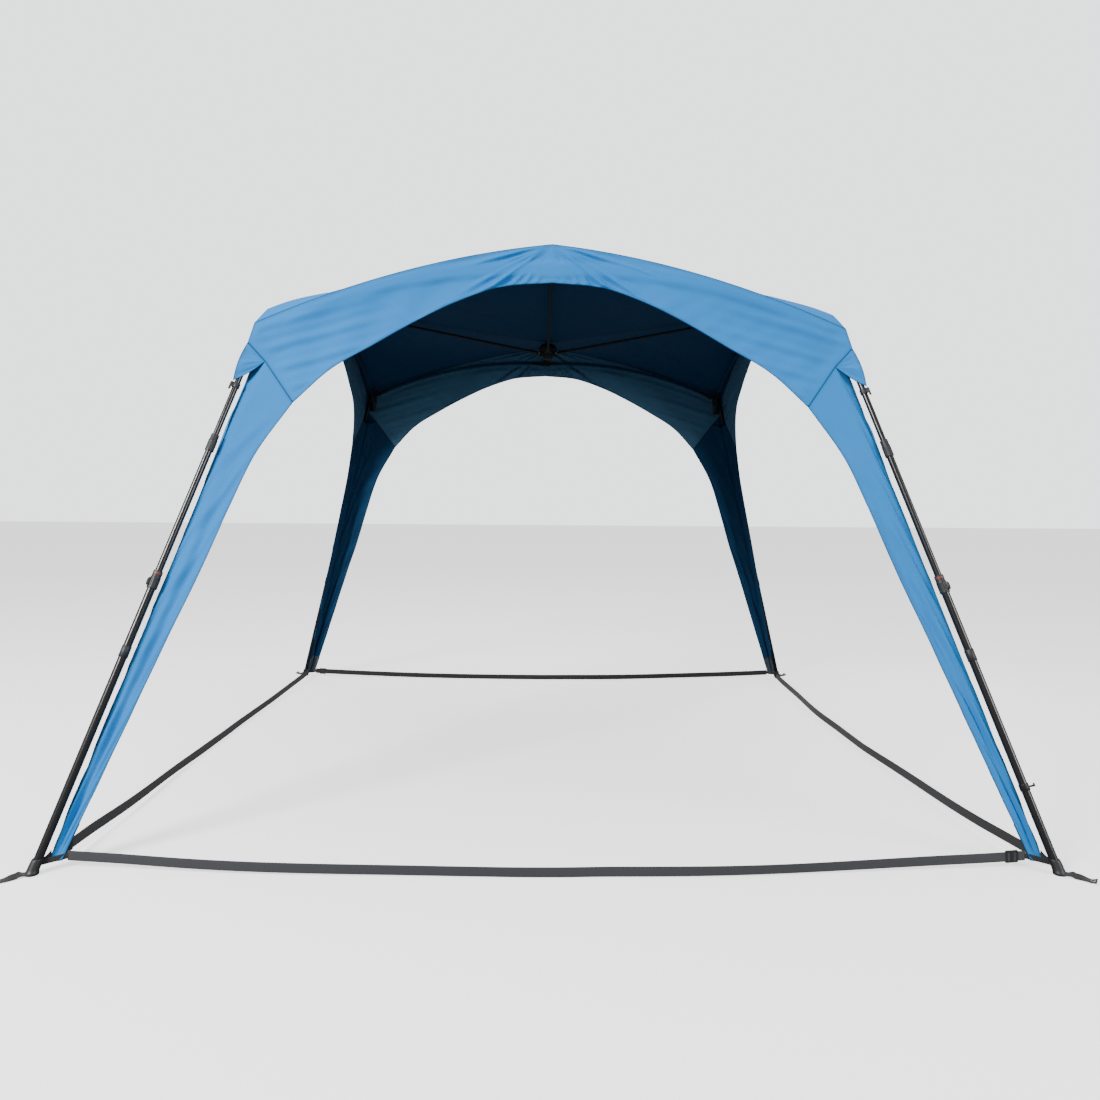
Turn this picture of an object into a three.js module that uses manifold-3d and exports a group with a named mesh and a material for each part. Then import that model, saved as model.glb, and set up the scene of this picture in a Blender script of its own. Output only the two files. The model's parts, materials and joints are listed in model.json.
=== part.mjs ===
// A pop-up day shelter: a hub frame with eight arched edge rods, four telescopic legs that stand
// outside the fabric, and one sewn canopy with an arched doorway in each side.
// Millimetres, +Z up. The origin is on the ground under the middle of the roof.
// Sides are front (-Y), right (+X), back (+Y) and left (-X). Corners follow the same way round.
import * as THREE from "three";
import { mergeVertices } from "three/addons/utils/BufferGeometryUtils.js";
import Module from "manifold-3d";

const wasm = await Module();
wasm.setup();

const { cos, sin, tan, atan, hypot, PI, SQRT2 } = Math;
const degrees = (angle) => (angle * PI) / 180;
const mix = THREE.MathUtils.lerp;

// ---- Driving dimensions -------------------------------------------------------------------
const FOOT_HALF = 1750; // each foot's x and y
const KNUCKLE_HALF = 1154; // each corner joint's x and y
const LEG_PIVOT_Z = 1951;
const ROOF_PITCH = degrees(11); // the ribs' and rod chords' slope when the frame is up
const HUB_PIVOT_R = 44; // rib pins on the hub
const APEX_PIVOT_R = 1108; // rib pins on the mid-edge joints
const APEX_PIVOT_Z = 2272;
const APEX_DROP = 80; // the edge rods' pins sit this far below the rib pin
const EDGE_OFFSET = 22; // and this far outside it
const ROD_SPREAD = 26; // half the distance between the two rods' pins on one mid-edge joint
const ROD_RISE = 64; // how far an edge rod arches above its chord
const RUN = 0.4; // running gap between a pin and the eye around it
const GAP = 0.5; // side gap between an eye and its fork

const PIN_R = 4;
const EYE_R = 9;
const EYE_WIDTH = 14;
const EAR = 5; // thickness of a fork's ear
const RIB_R = 6.9;
const ROD_R = 6.5;

const LEG_EYE = { radius: 11, half: 7, pin: 4.5 };
const LEG_EAR = 4; // thickness of the clevis cheeks on each side of the leg's eye
const UPPER_TUBE = { outer: 11, inner: 9.8, from: 12, to: 640 }; // distances down the leg
const MIDDLE_TUBE = { outer: 12.6, inner: 11.6, from: 478, to: 1170 };
const LOWER_TUBE = { outer: 14.4, inner: 13.2, from: 1036, to: 2098 };
const TUBE_RUN = 0.6; // running gap between a tube and the collar around it
const COLLAR_LENGTH = 70;
const COLLAR_GRIP = 42; // its thicker lower part
const COLLAR_WALL = 3.2;
const COLLAR_LIP = 6; // how far a collar reaches past the end of its own tube
const SLEEVE = { from: 1318, to: 1362, wall: 2 }; // fixed band on the lower tube
const CLIP_AT = 250; // the canopy's corner clip, down the leg
const SIDE_HOOK_AT = 1824;
const BAND_GAP = 0.3; // between a tube and a clip or hook around it

const FOOT_R = 22;
const FOOT_NECK_R = 17.6;
const FOOT_HEIGHT = 50;
const TAB = { from: 14, to: 104, width: 24, thickness: 4, eye: 6 };

const TUBE_SIDES = 12;

const FABRIC = 1.6;
const HUB_TOP_Z = 2122;
const HUB_FLAT_R = 46; // the canopy's small flat over the hub
const APEX_TOP = [1136, 2296]; // the canopy's highest points: distance from the middle, height
const SHOULDER = [1172, 1966]; // its corners over the knuckles
const EAVE_RISE = 50; // the eave's bow above a straight line
const RIDGE = { share: 0.968, lift: 30 }; // the roof rises over the knuckle just inside the eave
const HOOD_TOP = [1193, 1887]; // where the hood starts on the corner
const HOOD_TIP = [1240, 1732];
const HOOD_BULGE = 6;
const PANEL_TOP = [1176, 1795]; // a leg panel's corner where it starts under the hood
const PANEL_FOOT = [1716, 28];
const SEAM_KNEE = [1123, 1812]; // where the hood's edge meets the valance seam: x, height
const DOOR_CROWN = [0, 2140]; // the doorway's outline, from its crown down to the foot of a panel
const DOOR_SHOULDERS = [[200, 2122], [380, 2060], [545, 1978], [700, 1888], [865, 1784]];
const DOOR_SEAM = [1004, 1647];
const DOOR_SIDES = [[1128, 1450], [1212, 1240], [1298, 1000], [1385, 780], [1518, 430]];
const DOOR_FOOT = [1670, 32];

const STRAP = { half: 1656, inset: 1700, width: 34, thickness: 2.4, endZ: 46, midZ: 18 };
const STRAP_BOW = [75, -48, -70, 28]; // how far each side's strap bows outward at its middle
const BUCKLE = { at: 1606, length: 44, width: 42, depth: 8, gap: 0.8, window: 11 };

// ---- Sizes that follow ---------------------------------------------------------------------
const RUN_OUT = APEX_PIVOT_R - HUB_PIVOT_R; // a rib's and a rod's reach when the frame is up
const HUB_PIVOT_Z = APEX_PIVOT_Z - RUN_OUT * tan(ROOF_PITCH);
const EDGE_R = APEX_PIVOT_R + EDGE_OFFSET;
const APEX_ROD_Z = APEX_PIVOT_Z - APEX_DROP;
const KNUCKLE_ROD_Z = APEX_ROD_Z - RUN_OUT * tan(ROOF_PITCH);
const ROD_END = ROD_SPREAD + RUN_OUT; // where an edge rod ends, along its side
const LEG_REACH = (FOOT_HALF - KNUCKLE_HALF) * SQRT2;
const LEG_LENGTH = hypot(LEG_REACH, LEG_PIVOT_Z);
const LEG_TILT = atan(LEG_REACH / LEG_PIVOT_Z);

// ---- Materials -----------------------------------------------------------------------------
const finish = (color, roughness, metalness) =>
  new THREE.MeshStandardMaterial({ color, roughness, metalness });
const TUBE_STEEL = finish("#3b3a3d", 0.32, 0.85);
const ROD_BLACK = finish("#1b1c1f", 0.45, 0.2);
const PLASTIC = finish("#17181a", 0.55, 0);
const CANOPY_BLUE = finish("#3f7fb0", 0.8, 0);
const WEBBING = finish("#33343a", 0.9, 0);

// ---- Solids --------------------------------------------------------------------------------
// A closed three.js geometry as a solid that can be joined and cut.
function solid(geometry) {
  const bare = geometry.clone();
  bare.deleteAttribute("normal");
  bare.deleteAttribute("uv");
  const merged = mergeVertices(bare, 1e-4);
  return new wasm.Manifold(
    new wasm.Mesh({
      numProp: 3,
      vertProperties: merged.attributes.position.array,
      triVerts: new Uint32Array(merged.index.array),
    }),
  );
}

// A solid as a three.js geometry.
function geometryOf(made) {
  const mesh = made.getMesh();
  const geometry = new THREE.BufferGeometry();
  const index = new THREE.BufferAttribute(new Uint32Array(mesh.triVerts), 1);
  const position = new THREE.BufferAttribute(new Float32Array(mesh.vertProperties), 3);
  geometry.setIndex(index);
  geometry.setAttribute("position", position);
  geometry.computeVertexNormals();
  return geometry;
}

const union = (...parts) => parts.reduce((a, b) => a.add(b));

// A box between two corners.
function block(low, high) {
  const size = low.map((v, i) => high[i] - v);
  const middle = low.map((v, i) => (v + high[i]) / 2);
  return solid(new THREE.BoxGeometry(...size).translate(...middle));
}

// A cylinder between two points.
function rod(from, to, radius, sides = 10, endRadius = radius) {
  const start = new THREE.Vector3(...from);
  const along = new THREE.Vector3(...to).sub(start);
  const geometry = new THREE.CylinderGeometry(endRadius, radius, along.length(), sides);
  geometry.translate(0, along.length() / 2, 0);
  const up = new THREE.Vector3(0, 1, 0);
  const turn = new THREE.Quaternion().setFromUnitVectors(up, along.clone().normalize());
  geometry.applyQuaternion(turn).translate(...from);
  return solid(geometry);
}

// A solid of revolution about Z. The profile is a closed loop of [radius, z], anticlockwise.
function turned(profile, sides) {
  const loop = [...profile, profile[0]].map(([r, z]) => new THREE.Vector2(r, z));
  return solid(new THREE.LatheGeometry(loop, sides).rotateX(PI / 2));
}

const ring = (inner, outer, low, high, sides) =>
  turned([[inner, low], [outer, low], [outer, high], [inner, high]], sides);

const shelter = new THREE.Group();

function place(name, made, material, parent) {
  const mesh = new THREE.Mesh(geometryOf(made), material);
  mesh.name = name;
  parent.add(mesh);
}

// ---- Hub: a core with four forks, and a domed cap on top -----------------------------------
// A fork's two ears around an eye, with the pin between them. The fork opens along +X and -Z.
function hubFork() {
  const inner = EYE_WIDTH / 2 + GAP;
  const outer = inner + EAR;
  const ear = (low, high) =>
    union(
      block([20, low, HUB_PIVOT_Z - 16], [HUB_PIVOT_R, high, HUB_PIVOT_Z + EYE_R]),
      rod([HUB_PIVOT_R, low, HUB_PIVOT_Z], [HUB_PIVOT_R, high, HUB_PIVOT_Z], EYE_R),
    );
  const pin = rod([HUB_PIVOT_R, -outer, HUB_PIVOT_Z], [HUB_PIVOT_R, outer, HUB_PIVOT_Z], PIN_R);
  return union(ear(-outer, -inner), ear(inner, outer), pin);
}

function hubCore() {
  const top = HUB_PIVOT_Z + EYE_R;
  const bottom = HUB_PIVOT_Z - 34;
  const profile = [[0, bottom], [19, bottom], [25, bottom + 8], [29, top - 6], [29, top], [0, top]];
  const core = turned(profile, 24);
  const forks = [0, 1, 2, 3].map((k) => hubFork().rotate([0, 0, 90 * k]));
  return union(core, ...forks);
}

function hubCap() {
  const low = HUB_PIVOT_Z + EYE_R + 0.4;
  const high = HUB_TOP_Z - 4;
  const profile = [[0, low], [44, low], [46, low + 5], [46, low + 14]];
  for (const turn of [25, 50, 72]) {
    const angle = degrees(turn);
    profile.push([46 * cos(angle), low + 14 + (high - low - 14) * sin(angle)]);
  }
  profile.push([0, high]);
  return turned(profile, 24);
}

// ---- Rib: a straight tube with an eye at each end, from the hub to a mid-edge joint ---------
// Side frame: -Y is outward, +X is along the side.
function rib() {
  const half = EYE_WIDTH / 2;
  const ends = [[HUB_PIVOT_R, HUB_PIVOT_Z], [APEX_PIVOT_R, APEX_PIVOT_Z]];
  const eyes = ends.map(([r, z]) => rod([-half, -r, z], [half, -r, z], EYE_R));
  const bores = ends.map(([r, z]) => rod([-20, -r, z], [20, -r, z], PIN_R + RUN));
  const [[hubR, hubZ], [apexR, apexZ]] = ends;
  const tube = rod([0, -hubR, hubZ], [0, -apexR, apexZ], RIB_R);
  return union(tube, ...eyes).subtract(union(...bores));
}

// ---- Mid-edge joint: rib pin at the top, two rod pins side by side below ---------------------
function apexJoint() {
  const half = EYE_WIDTH / 2 + GAP;
  const cheek = [EDGE_R - half - EAR, EDGE_R - half, EDGE_R + half, EDGE_R + half + EAR];
  const rodZ = APEX_ROD_Z;
  const tall = EYE_R + 1.5; // half a plate's height
  const plate = (near, far) => {
    const discs = [-1, 1].map((way) =>
      rod([way * ROD_SPREAD, -near, rodZ], [way * ROD_SPREAD, -far, rodZ], tall),
    );
    const bar = block([-ROD_SPREAD, -far, rodZ - tall], [ROD_SPREAD, -near, rodZ + tall]);
    return union(bar, ...discs);
  };
  const pins = [-1, 1].map((way) =>
    rod([way * ROD_SPREAD, -cheek[0], rodZ], [way * ROD_SPREAD, -cheek[3], rodZ], PIN_R),
  );
  const web = union(
    block([-10, -cheek[3], rodZ - tall], [10, -cheek[0], rodZ + tall]),
    block([-12, -cheek[1], rodZ], [12, -cheek[0], APEX_PIVOT_Z + 10]),
  );
  const ribEar = (low, high) =>
    union(
      rod([low, -APEX_PIVOT_R, APEX_PIVOT_Z], [high, -APEX_PIVOT_R, APEX_PIVOT_Z], EYE_R),
      block([low, -cheek[0] - 2, APEX_PIVOT_Z - EYE_R], [high, -APEX_PIVOT_R, APEX_PIVOT_Z + EYE_R]),
    );
  const ribPin = rod(
    [-half - EAR, -APEX_PIVOT_R, APEX_PIVOT_Z],
    [half + EAR, -APEX_PIVOT_R, APEX_PIVOT_Z],
    PIN_R,
  );
  return union(
    plate(cheek[0], cheek[1]),
    plate(cheek[2], cheek[3]),
    web,
    ...pins,
    ribEar(-half - EAR, -half),
    ribEar(half, half + EAR),
    ribPin,
  );
}

// ---- Edge rod: an arched rod with an eye at each end, from a mid-edge joint to a knuckle -----
// way is +1 for the rod that runs along +X of the side frame and -1 for the other.
function edgeRod(way) {
  const start = new THREE.Vector3(way * ROD_SPREAD, -EDGE_R, APEX_ROD_Z);
  const end = new THREE.Vector3(way * ROD_END, -EDGE_R, KNUCKLE_ROD_Z);
  const across = new THREE.Vector3(way * sin(ROOF_PITCH), 0, cos(ROOF_PITCH));
  const middle = start.clone().lerp(end, 0.5).addScaledVector(across, 2 * ROD_RISE);
  const arch = new THREE.QuadraticBezierCurve3(start, middle, end);
  const corners = [0, 1, 2, 3, 4, 5, 6, 7].map((k) => [cos((k * PI) / 4), sin((k * PI) / 4)]);
  const outline = new THREE.Shape(corners.map(([u, v]) => new THREE.Vector2(ROD_R * u, ROD_R * v)));
  const bar = solid(new THREE.ExtrudeGeometry(outline, { steps: 12, extrudePath: arch }));
  const width = EYE_WIDTH / 2;
  const ends = [start, end];
  const round = (p, half, radius) => rod([p.x, p.y - half, p.z], [p.x, p.y + half, p.z], radius);
  const eyes = ends.map((p) => round(p, width, EYE_R));
  const bores = ends.map((p) => round(p, 20, PIN_R + RUN));
  return union(bar, ...eyes).subtract(union(...bores));
}

// ---- Knuckle: two forks for the edge rods and a clevis for the leg --------------------------
// Corner frame for the front right corner. The fork for the front rod is made in x and y and
// mirrored over the diagonal for the right side's rod.
function rodFork() {
  const half = EYE_WIDTH / 2 + GAP;
  const near = -EDGE_R + half;
  const far = -EDGE_R - half;
  const low = KNUCKLE_ROD_Z - EYE_R - 2;
  const high = KNUCKLE_ROD_Z + EYE_R + 2;
  const ear = (a, b) =>
    union(
      rod([ROD_END, a, KNUCKLE_ROD_Z], [ROD_END, b, KNUCKLE_ROD_Z], EYE_R + 2),
      block([ROD_END, a, low], [KNUCKLE_HALF - 40, b, high]),
    );
  const pin = rod([ROD_END, far - EAR, KNUCKLE_ROD_Z], [ROD_END, near + EAR, KNUCKLE_ROD_Z], PIN_R);
  const heelTop = KNUCKLE_ROD_Z - 4;
  const heel = block([ROD_END + 20, far - EAR, low - 46], [KNUCKLE_HALF - 12, near + EAR, heelTop]);
  return union(ear(far - EAR, far), ear(near, near + EAR), pin, heel);
}

function legClevis() {
  const { radius, half, pin } = LEG_EYE;
  const inner = half + GAP;
  const outer = inner + LEG_EAR;
  const cheek = (low, high) =>
    union(
      rod([0, low, LEG_PIVOT_Z], [0, high, LEG_PIVOT_Z], radius),
      block([-46, low, LEG_PIVOT_Z - 9], [0, high, LEG_PIVOT_Z + radius]),
      block([-46, low, LEG_PIVOT_Z - 76], [-14, high, LEG_PIVOT_Z]),
    );
  const back = block([-46, -outer, LEG_PIVOT_Z - 76], [-26, outer, LEG_PIVOT_Z + 26]);
  const shaft = rod([0, -outer, LEG_PIVOT_Z], [0, outer, LEG_PIVOT_Z], pin);
  return union(cheek(-outer, -inner), cheek(inner, outer), back, shaft)
    .rotate([0, 0, -45])
    .translate([KNUCKLE_HALF, -KNUCKLE_HALF, 0]);
}

function knuckle() {
  const front = rodFork();
  // Mirroring in the plane x + y = 0 sends the front side's fork to the right side's.
  const right = front.mirror([1, 1, 0]);
  return union(front, right, legClevis());
}

// ---- Telescopic leg: built down its own axis, -Z of the leg frame ---------------------------
const tube = ({ outer, inner, from, to }) => ring(inner, outer, -to, -from, TUBE_SIDES);

function lowerTube() {
  const { from, to, wall } = SLEEVE;
  const band = ring(LOWER_TUBE.inner + 0.5, LOWER_TUBE.outer + wall, -to, -from, TUBE_SIDES);
  return union(tube(LOWER_TUBE), band);
}

function upperTube() {
  const { radius, half, pin } = LEG_EYE;
  const eye = rod([0, -half, 0], [0, half, 0], radius, 12);
  const neck = rod([0, 0, -8], [0, 0, -UPPER_TUBE.from - 8], half, 12);
  const stub = rod([0, 0, -16], [0, 0, -UPPER_TUBE.from - 10], UPPER_TUBE.outer, TUBE_SIDES);
  const bore = rod([0, -20, 0], [0, 20, 0], pin + RUN);
  const { inner, outer, to } = UPPER_TUBE;
  const sleeve = ring(inner, outer, -to, -UPPER_TUBE.from - 6, TUBE_SIDES);
  return union(eye, neck, stub, sleeve).subtract(bore);
}

// A twist collar: a stepped sleeve over a tube's end, closing to the next tube's size at its lip.
function collar(outerTube, innerTube) {
  const top = -outerTube.from + COLLAR_LIP;
  const low = top - COLLAR_LENGTH;
  const bore = outerTube.outer + TUBE_RUN;
  const throat = innerTube.outer + TUBE_RUN;
  const outer = bore + COLLAR_WALL;
  const slim = outer - COLLAR_WALL / 2;
  const grip = low + COLLAR_GRIP;
  return turned(
    [[bore, low], [outer, low], [outer, grip], [slim, grip + 6], [slim, top],
      [throat, top], [throat, top - COLLAR_LIP + 1], [bore, top - COLLAR_LIP + 1]],
    TUBE_SIDES,
  );
}

// The foot: a plastic cone on the ground round the tube's end, with a tab outward for a peg.
// Leg plane frame: +X is outward along the diagonal, the foot's middle is at x = 0 and z = 0.
function foot() {
  const axisAt = (z) => [-z * tan(LEG_TILT), 0, z];
  const sole = rod([0, 0, 0], [0, 0, 10], FOOT_R, 14);
  const cone = rod(axisAt(4), axisAt(FOOT_HEIGHT), FOOT_R - 2, 14, FOOT_NECK_R);
  const tubeEnd = (LEG_LENGTH - LOWER_TUBE.to) * cos(LEG_TILT);
  const socket = rod(axisAt(tubeEnd - 7), axisAt(130), LOWER_TUBE.outer + 0.5, TUBE_SIDES);
  const bar = block([TAB.from, -TAB.width / 2, 1], [TAB.to, TAB.width / 2, 1 + TAB.thickness]);
  const end = rod([TAB.to, 0, 1], [TAB.to, 0, 1 + TAB.thickness], TAB.width / 2);
  const eye = rod([TAB.to, 0, -5], [TAB.to, 0, 20], TAB.eye);
  const below = block([-90, -90, -60], [200, 90, 0]);
  return union(sole, cone, bar, end).subtract(socket.add(eye).add(below));
}

// A plastic clip round the upper tube that holds the tip of the canopy's hood.
function hoodClip() {
  const bore = UPPER_TUBE.outer + BAND_GAP;
  const band = ring(bore, bore + 3, -CLIP_AT - 20, -CLIP_AT, TUBE_SIDES);
  const arm = block([bore + 1, -5, -CLIP_AT - 20], [bore + 12, 5, -CLIP_AT - 2]);
  const lip = block([bore + 8, -7, -CLIP_AT - 34], [bore + 12, 7, -CLIP_AT - 2]);
  return union(band, arm, lip);
}

function sideHook() {
  const bore = LOWER_TUBE.outer + BAND_GAP;
  const band = ring(bore, bore + 2.4, -SIDE_HOOK_AT - 12, -SIDE_HOOK_AT + 12, TUBE_SIDES);
  const arm = block([bore + 1, -4, -SIDE_HOOK_AT - 3], [bore + 22, 4, -SIDE_HOOK_AT + 3]);
  const tip = block([bore + 18, -4, -SIDE_HOOK_AT - 3], [bore + 22, 4, -SIDE_HOOK_AT + 9]);
  return union(band, arm, tip);
}

// ---- Ground strap and its ladder-lock buckle, side frame -------------------------------------
const strapZ = (x) => mix(STRAP.midZ, STRAP.endZ, (x / STRAP.half) ** 2);
const strapY = (x, bow) => -STRAP.inset - bow * (1 - (x / STRAP.half) ** 2);

function groundStrap(bow) {
  const sheet = new THREE.BoxGeometry(2 * STRAP.half, STRAP.thickness, STRAP.width, 14, 1, 1);
  const { position } = sheet.attributes;
  for (let i = 0; i < position.count; i++) {
    const x = position.getX(i);
    position.setY(i, position.getY(i) + strapY(x, bow));
    position.setZ(i, position.getZ(i) + strapZ(x));
  }
  return solid(sheet);
}

function buckle(bow) {
  const { at, length, width, depth, gap, window } = BUCKLE;
  const slotHalf = STRAP.thickness / 2 + gap;
  const frame = block([-length / 2, -depth / 2, -width / 2], [length / 2, depth / 2, width / 2]);
  const slotTall = STRAP.width / 2 + 1.5;
  const slot = block([-length, -slotHalf, -slotTall], [length, slotHalf, slotTall]);
  const windows = [-1, 1].map((way) =>
    block([way * window - 5.5, -depth, -slotTall], [way * window + 5.5, 0, slotTall]),
  );
  const slope = (rise) => (atan((2 * at * rise) / STRAP.half ** 2) * 180) / PI;
  return frame
    .subtract(union(slot, ...windows))
    .rotate([0, -slope(STRAP.endZ - STRAP.midZ), slope(bow)])
    .translate([at, strapY(at, bow), strapZ(at)]);
}

// ---- Canopy: one thin shell, made as an eighth that is mirrored and turned -------------------
// The eighth is the half of the front from its middle to the right corner, x >= 0.
const vector = (x, y, z) => new THREE.Vector3(x, y, z);
const corner = ([half, z]) => vector(half, -half, z);

// The front face leans: the doorway's outline lies on it. Its legs splay more than its valance.
const FACE_FOOT_Y = 1720;
const FACE_SPLAY = 0.29;
const FACE_KINK_Z = 1890;

function faceY(z) {
  const kinkY = FACE_FOOT_Y - FACE_SPLAY * FACE_KINK_Z;
  const valance = mix(kinkY, APEX_TOP[0], (z - FACE_KINK_Z) / (APEX_TOP[1] - FACE_KINK_Z));
  return -(z < FACE_KINK_Z ? FACE_FOOT_Y - FACE_SPLAY * z : valance);
}

const onFace = ([x, z]) => vector(x, faceY(z), z);
const doorTop = new THREE.CatmullRomCurve3([DOOR_CROWN, ...DOOR_SHOULDERS, DOOR_SEAM].map(onFace));
const doorSide = new THREE.CatmullRomCurve3([DOOR_SEAM, ...DOOR_SIDES, DOOR_FOOT].map(onFace));

function eave(t) {
  const apex = vector(0, -APEX_TOP[0], APEX_TOP[1]);
  const point = apex.lerp(corner(SHOULDER), t);
  point.z += 4 * EAVE_RISE * t * (1 - t);
  return point;
}

const KNEE = vector(SEAM_KNEE[0], faceY(SEAM_KNEE[1]) - 2, SEAM_KNEE[1]);

// A line of straight runs: stops are [share, point], the share counted from 0 to 1.
function along(stops, w) {
  const next = stops.findIndex(([share]) => share >= w);
  if (next <= 0) return stops[0][1].clone();
  const [[low, from], [high, to]] = stops.slice(next - 1, next + 1);
  return from.clone().lerp(to, (w - low) / (high - low));
}

function canopyEighth() {
  const points = [];
  const quad = (a, b, c, d) => points.push(a, b, c, a, c, d);
  const grid = (rows) => {
    for (let i = 1; i < rows.length; i++)
      for (let j = 1; j < rows[i].length; j++)
        quad(rows[i - 1][j - 1], rows[i][j - 1], rows[i][j], rows[i - 1][j]);
  };
  const steps = 8;
  const shares = Array.from({ length: steps + 1 }, (_, i) => i / steps);
  const seamFoot = doorTop.getPointAt(1);
  const shoulder = corner(SHOULDER);
  const hoodTop = corner(HOOD_TOP);

  // Points across a strip from one edge to the other, bent by a share of how far a bent line
  // strays from a straight one between the same ends.
  const across = (from, to, line, share, columns) =>
    columns.map((w) => {
      const straight = line[0][1].clone().lerp(line[line.length - 1][1], w);
      const stray = along(line, w).sub(straight).multiplyScalar(share);
      return from.clone().lerp(to, w).add(stray);
    });

  // Valance, from its middle to the seam and corner that run down from the shoulder.
  const seam = [[0, seamFoot], [0.54, KNEE], [0.8, hoodTop], [1, shoulder]];
  const valanceColumns = [0, 0.27, 0.54, 0.8, 1];
  grid(shares.map((t) => across(doorTop.getPointAt(t), eave(t), seam, t ** 3, valanceColumns)));

  // Leg panel, from the hood down to the foot.
  const top = [[0, seamFoot], [0.6, KNEE], [1, corner(PANEL_TOP)]];
  const panelColumns = [0, 0.3, 0.6, 0.8, 1];
  const outer = (t) => corner(PANEL_TOP).lerp(corner(PANEL_FOOT), t);
  grid(shares.map((t) => across(doorSide.getPointAt(t), outer(t), top, (1 - t) ** 3, panelColumns)));

  // Hood: a small three-sided piece from the seam to its tip outside the leg.
  const tip = corner(HOOD_TIP);
  const ridge = hoodTop.clone().lerp(tip, 0.5).add(vector(HOOD_BULGE, -HOOD_BULGE, 0));
  points.push(KNEE, ridge, hoodTop, KNEE, tip, ridge);

  // Roof, from a small flat over the hub out to a low ridge and down to the eave.
  const centre = vector(0, 0, HUB_TOP_Z);
  const roof = shares.map((t) => {
    const edge = eave(t);
    const start = edge.clone().setZ(0).setLength(HUB_FLAT_R).setZ(HUB_TOP_Z);
    const high = vector(edge.x * RIDGE.share, edge.y * RIDGE.share, edge.z + RIDGE.lift * t ** 6);
    return [edge, high, ...[0.75, 0.5, 0.25, 0].map((q) => start.clone().lerp(high, q))];
  });
  grid(roof);
  for (let i = 1; i < roof.length; i++) points.push(centre, roof[i - 1].at(-1), roof[i].at(-1));
  return points;
}

// All eight copies as one open surface whose vertices are shared.
function canopySurface() {
  const eighth = canopyEighth();
  const values = [];
  for (let side = 0; side < 4; side++) {
    const turn = new THREE.Matrix4().makeRotationZ((side * PI) / 2);
    for (let i = 0; i < eighth.length; i += 3) {
      const face = eighth.slice(i, i + 3);
      const flipped = [face[0], face[2], face[1]].map((p) => vector(-p.x, p.y, p.z));
      for (const p of [...face, ...flipped]) values.push(...p.clone().applyMatrix4(turn).toArray());
    }
  }
  const geometry = new THREE.BufferGeometry();
  geometry.setAttribute("position", new THREE.BufferAttribute(new Float32Array(values), 3));
  return mergeVertices(geometry, 0.01);
}

// A closed shell of the given thickness, grown inwards from an open surface.
function thicken(surface, thickness) {
  surface.computeVertexNormals();
  const { position, normal } = surface.attributes;
  const count = position.count;
  const outer = Array.from(surface.index.array);
  const faces = [];
  const edges = new Map();
  for (let i = 0; i < outer.length; i += 3) {
    const [a, b, c] = outer.slice(i, i + 3);
    if (a === b || b === c || c === a) continue;
    faces.push(a, b, c, a + count, c + count, b + count);
    for (const [p, q] of [[a, b], [b, c], [c, a]]) {
      if (edges.has(`${q} ${p}`)) edges.delete(`${q} ${p}`);
      else edges.set(`${p} ${q}`, [p, q]);
    }
  }
  for (const [p, q] of edges.values()) faces.push(q, p, p + count, q, p + count, q + count);
  const places = new Float32Array(6 * count);
  for (let i = 0; i < count; i++) {
    const point = new THREE.Vector3().fromBufferAttribute(position, i);
    const inward = new THREE.Vector3().fromBufferAttribute(normal, i).multiplyScalar(-thickness);
    point.toArray(places, 3 * i);
    point.add(inward).toArray(places, 3 * (i + count));
  }
  const shell = new THREE.BufferGeometry();
  shell.setAttribute("position", new THREE.BufferAttribute(places, 3));
  shell.setIndex(faces);
  return solid(shell);
}

// ---- Assembly ------------------------------------------------------------------------------
place("hub_body", hubCore(), PLASTIC, shelter);
place("hub_cap", hubCap(), PLASTIC, shelter);

const SIDES = ["front", "right", "back", "left"];
const CORNERS = ["fr", "br", "bl", "fl"];
const shapes = {
  rib: rib(),
  apex: apexJoint(),
  rodOn: edgeRod(1),
  rodBack: edgeRod(-1),
  knuckle: knuckle(),
  upper: upperTube(),
  middle: tube(MIDDLE_TUBE),
  lower: lowerTube(),
  upperCollar: collar(MIDDLE_TUBE, UPPER_TUBE),
  lowerCollar: collar(LOWER_TUBE, MIDDLE_TUBE),
  clip: hoodClip(),
  foot: foot(),
};

SIDES.forEach((side, k) => {
  const group = new THREE.Group();
  group.rotation.z = (k * PI) / 2;
  shelter.add(group);
  place(`rib_${side}`, shapes.rib, ROD_BLACK, group);
  place(`apex_joint_${side}`, shapes.apex, PLASTIC, group);
  place(`edge_rod_${side}_${CORNERS[k]}`, shapes.rodOn, ROD_BLACK, group);
  place(`edge_rod_${side}_${CORNERS[(k + 3) % 4]}`, shapes.rodBack, ROD_BLACK, group);
  place(`ground_strap_${side}`, groundStrap(STRAP_BOW[k]), WEBBING, group);
  place(`strap_buckle_${CORNERS[k]}`, buckle(STRAP_BOW[k]), PLASTIC, group);
});

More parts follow.
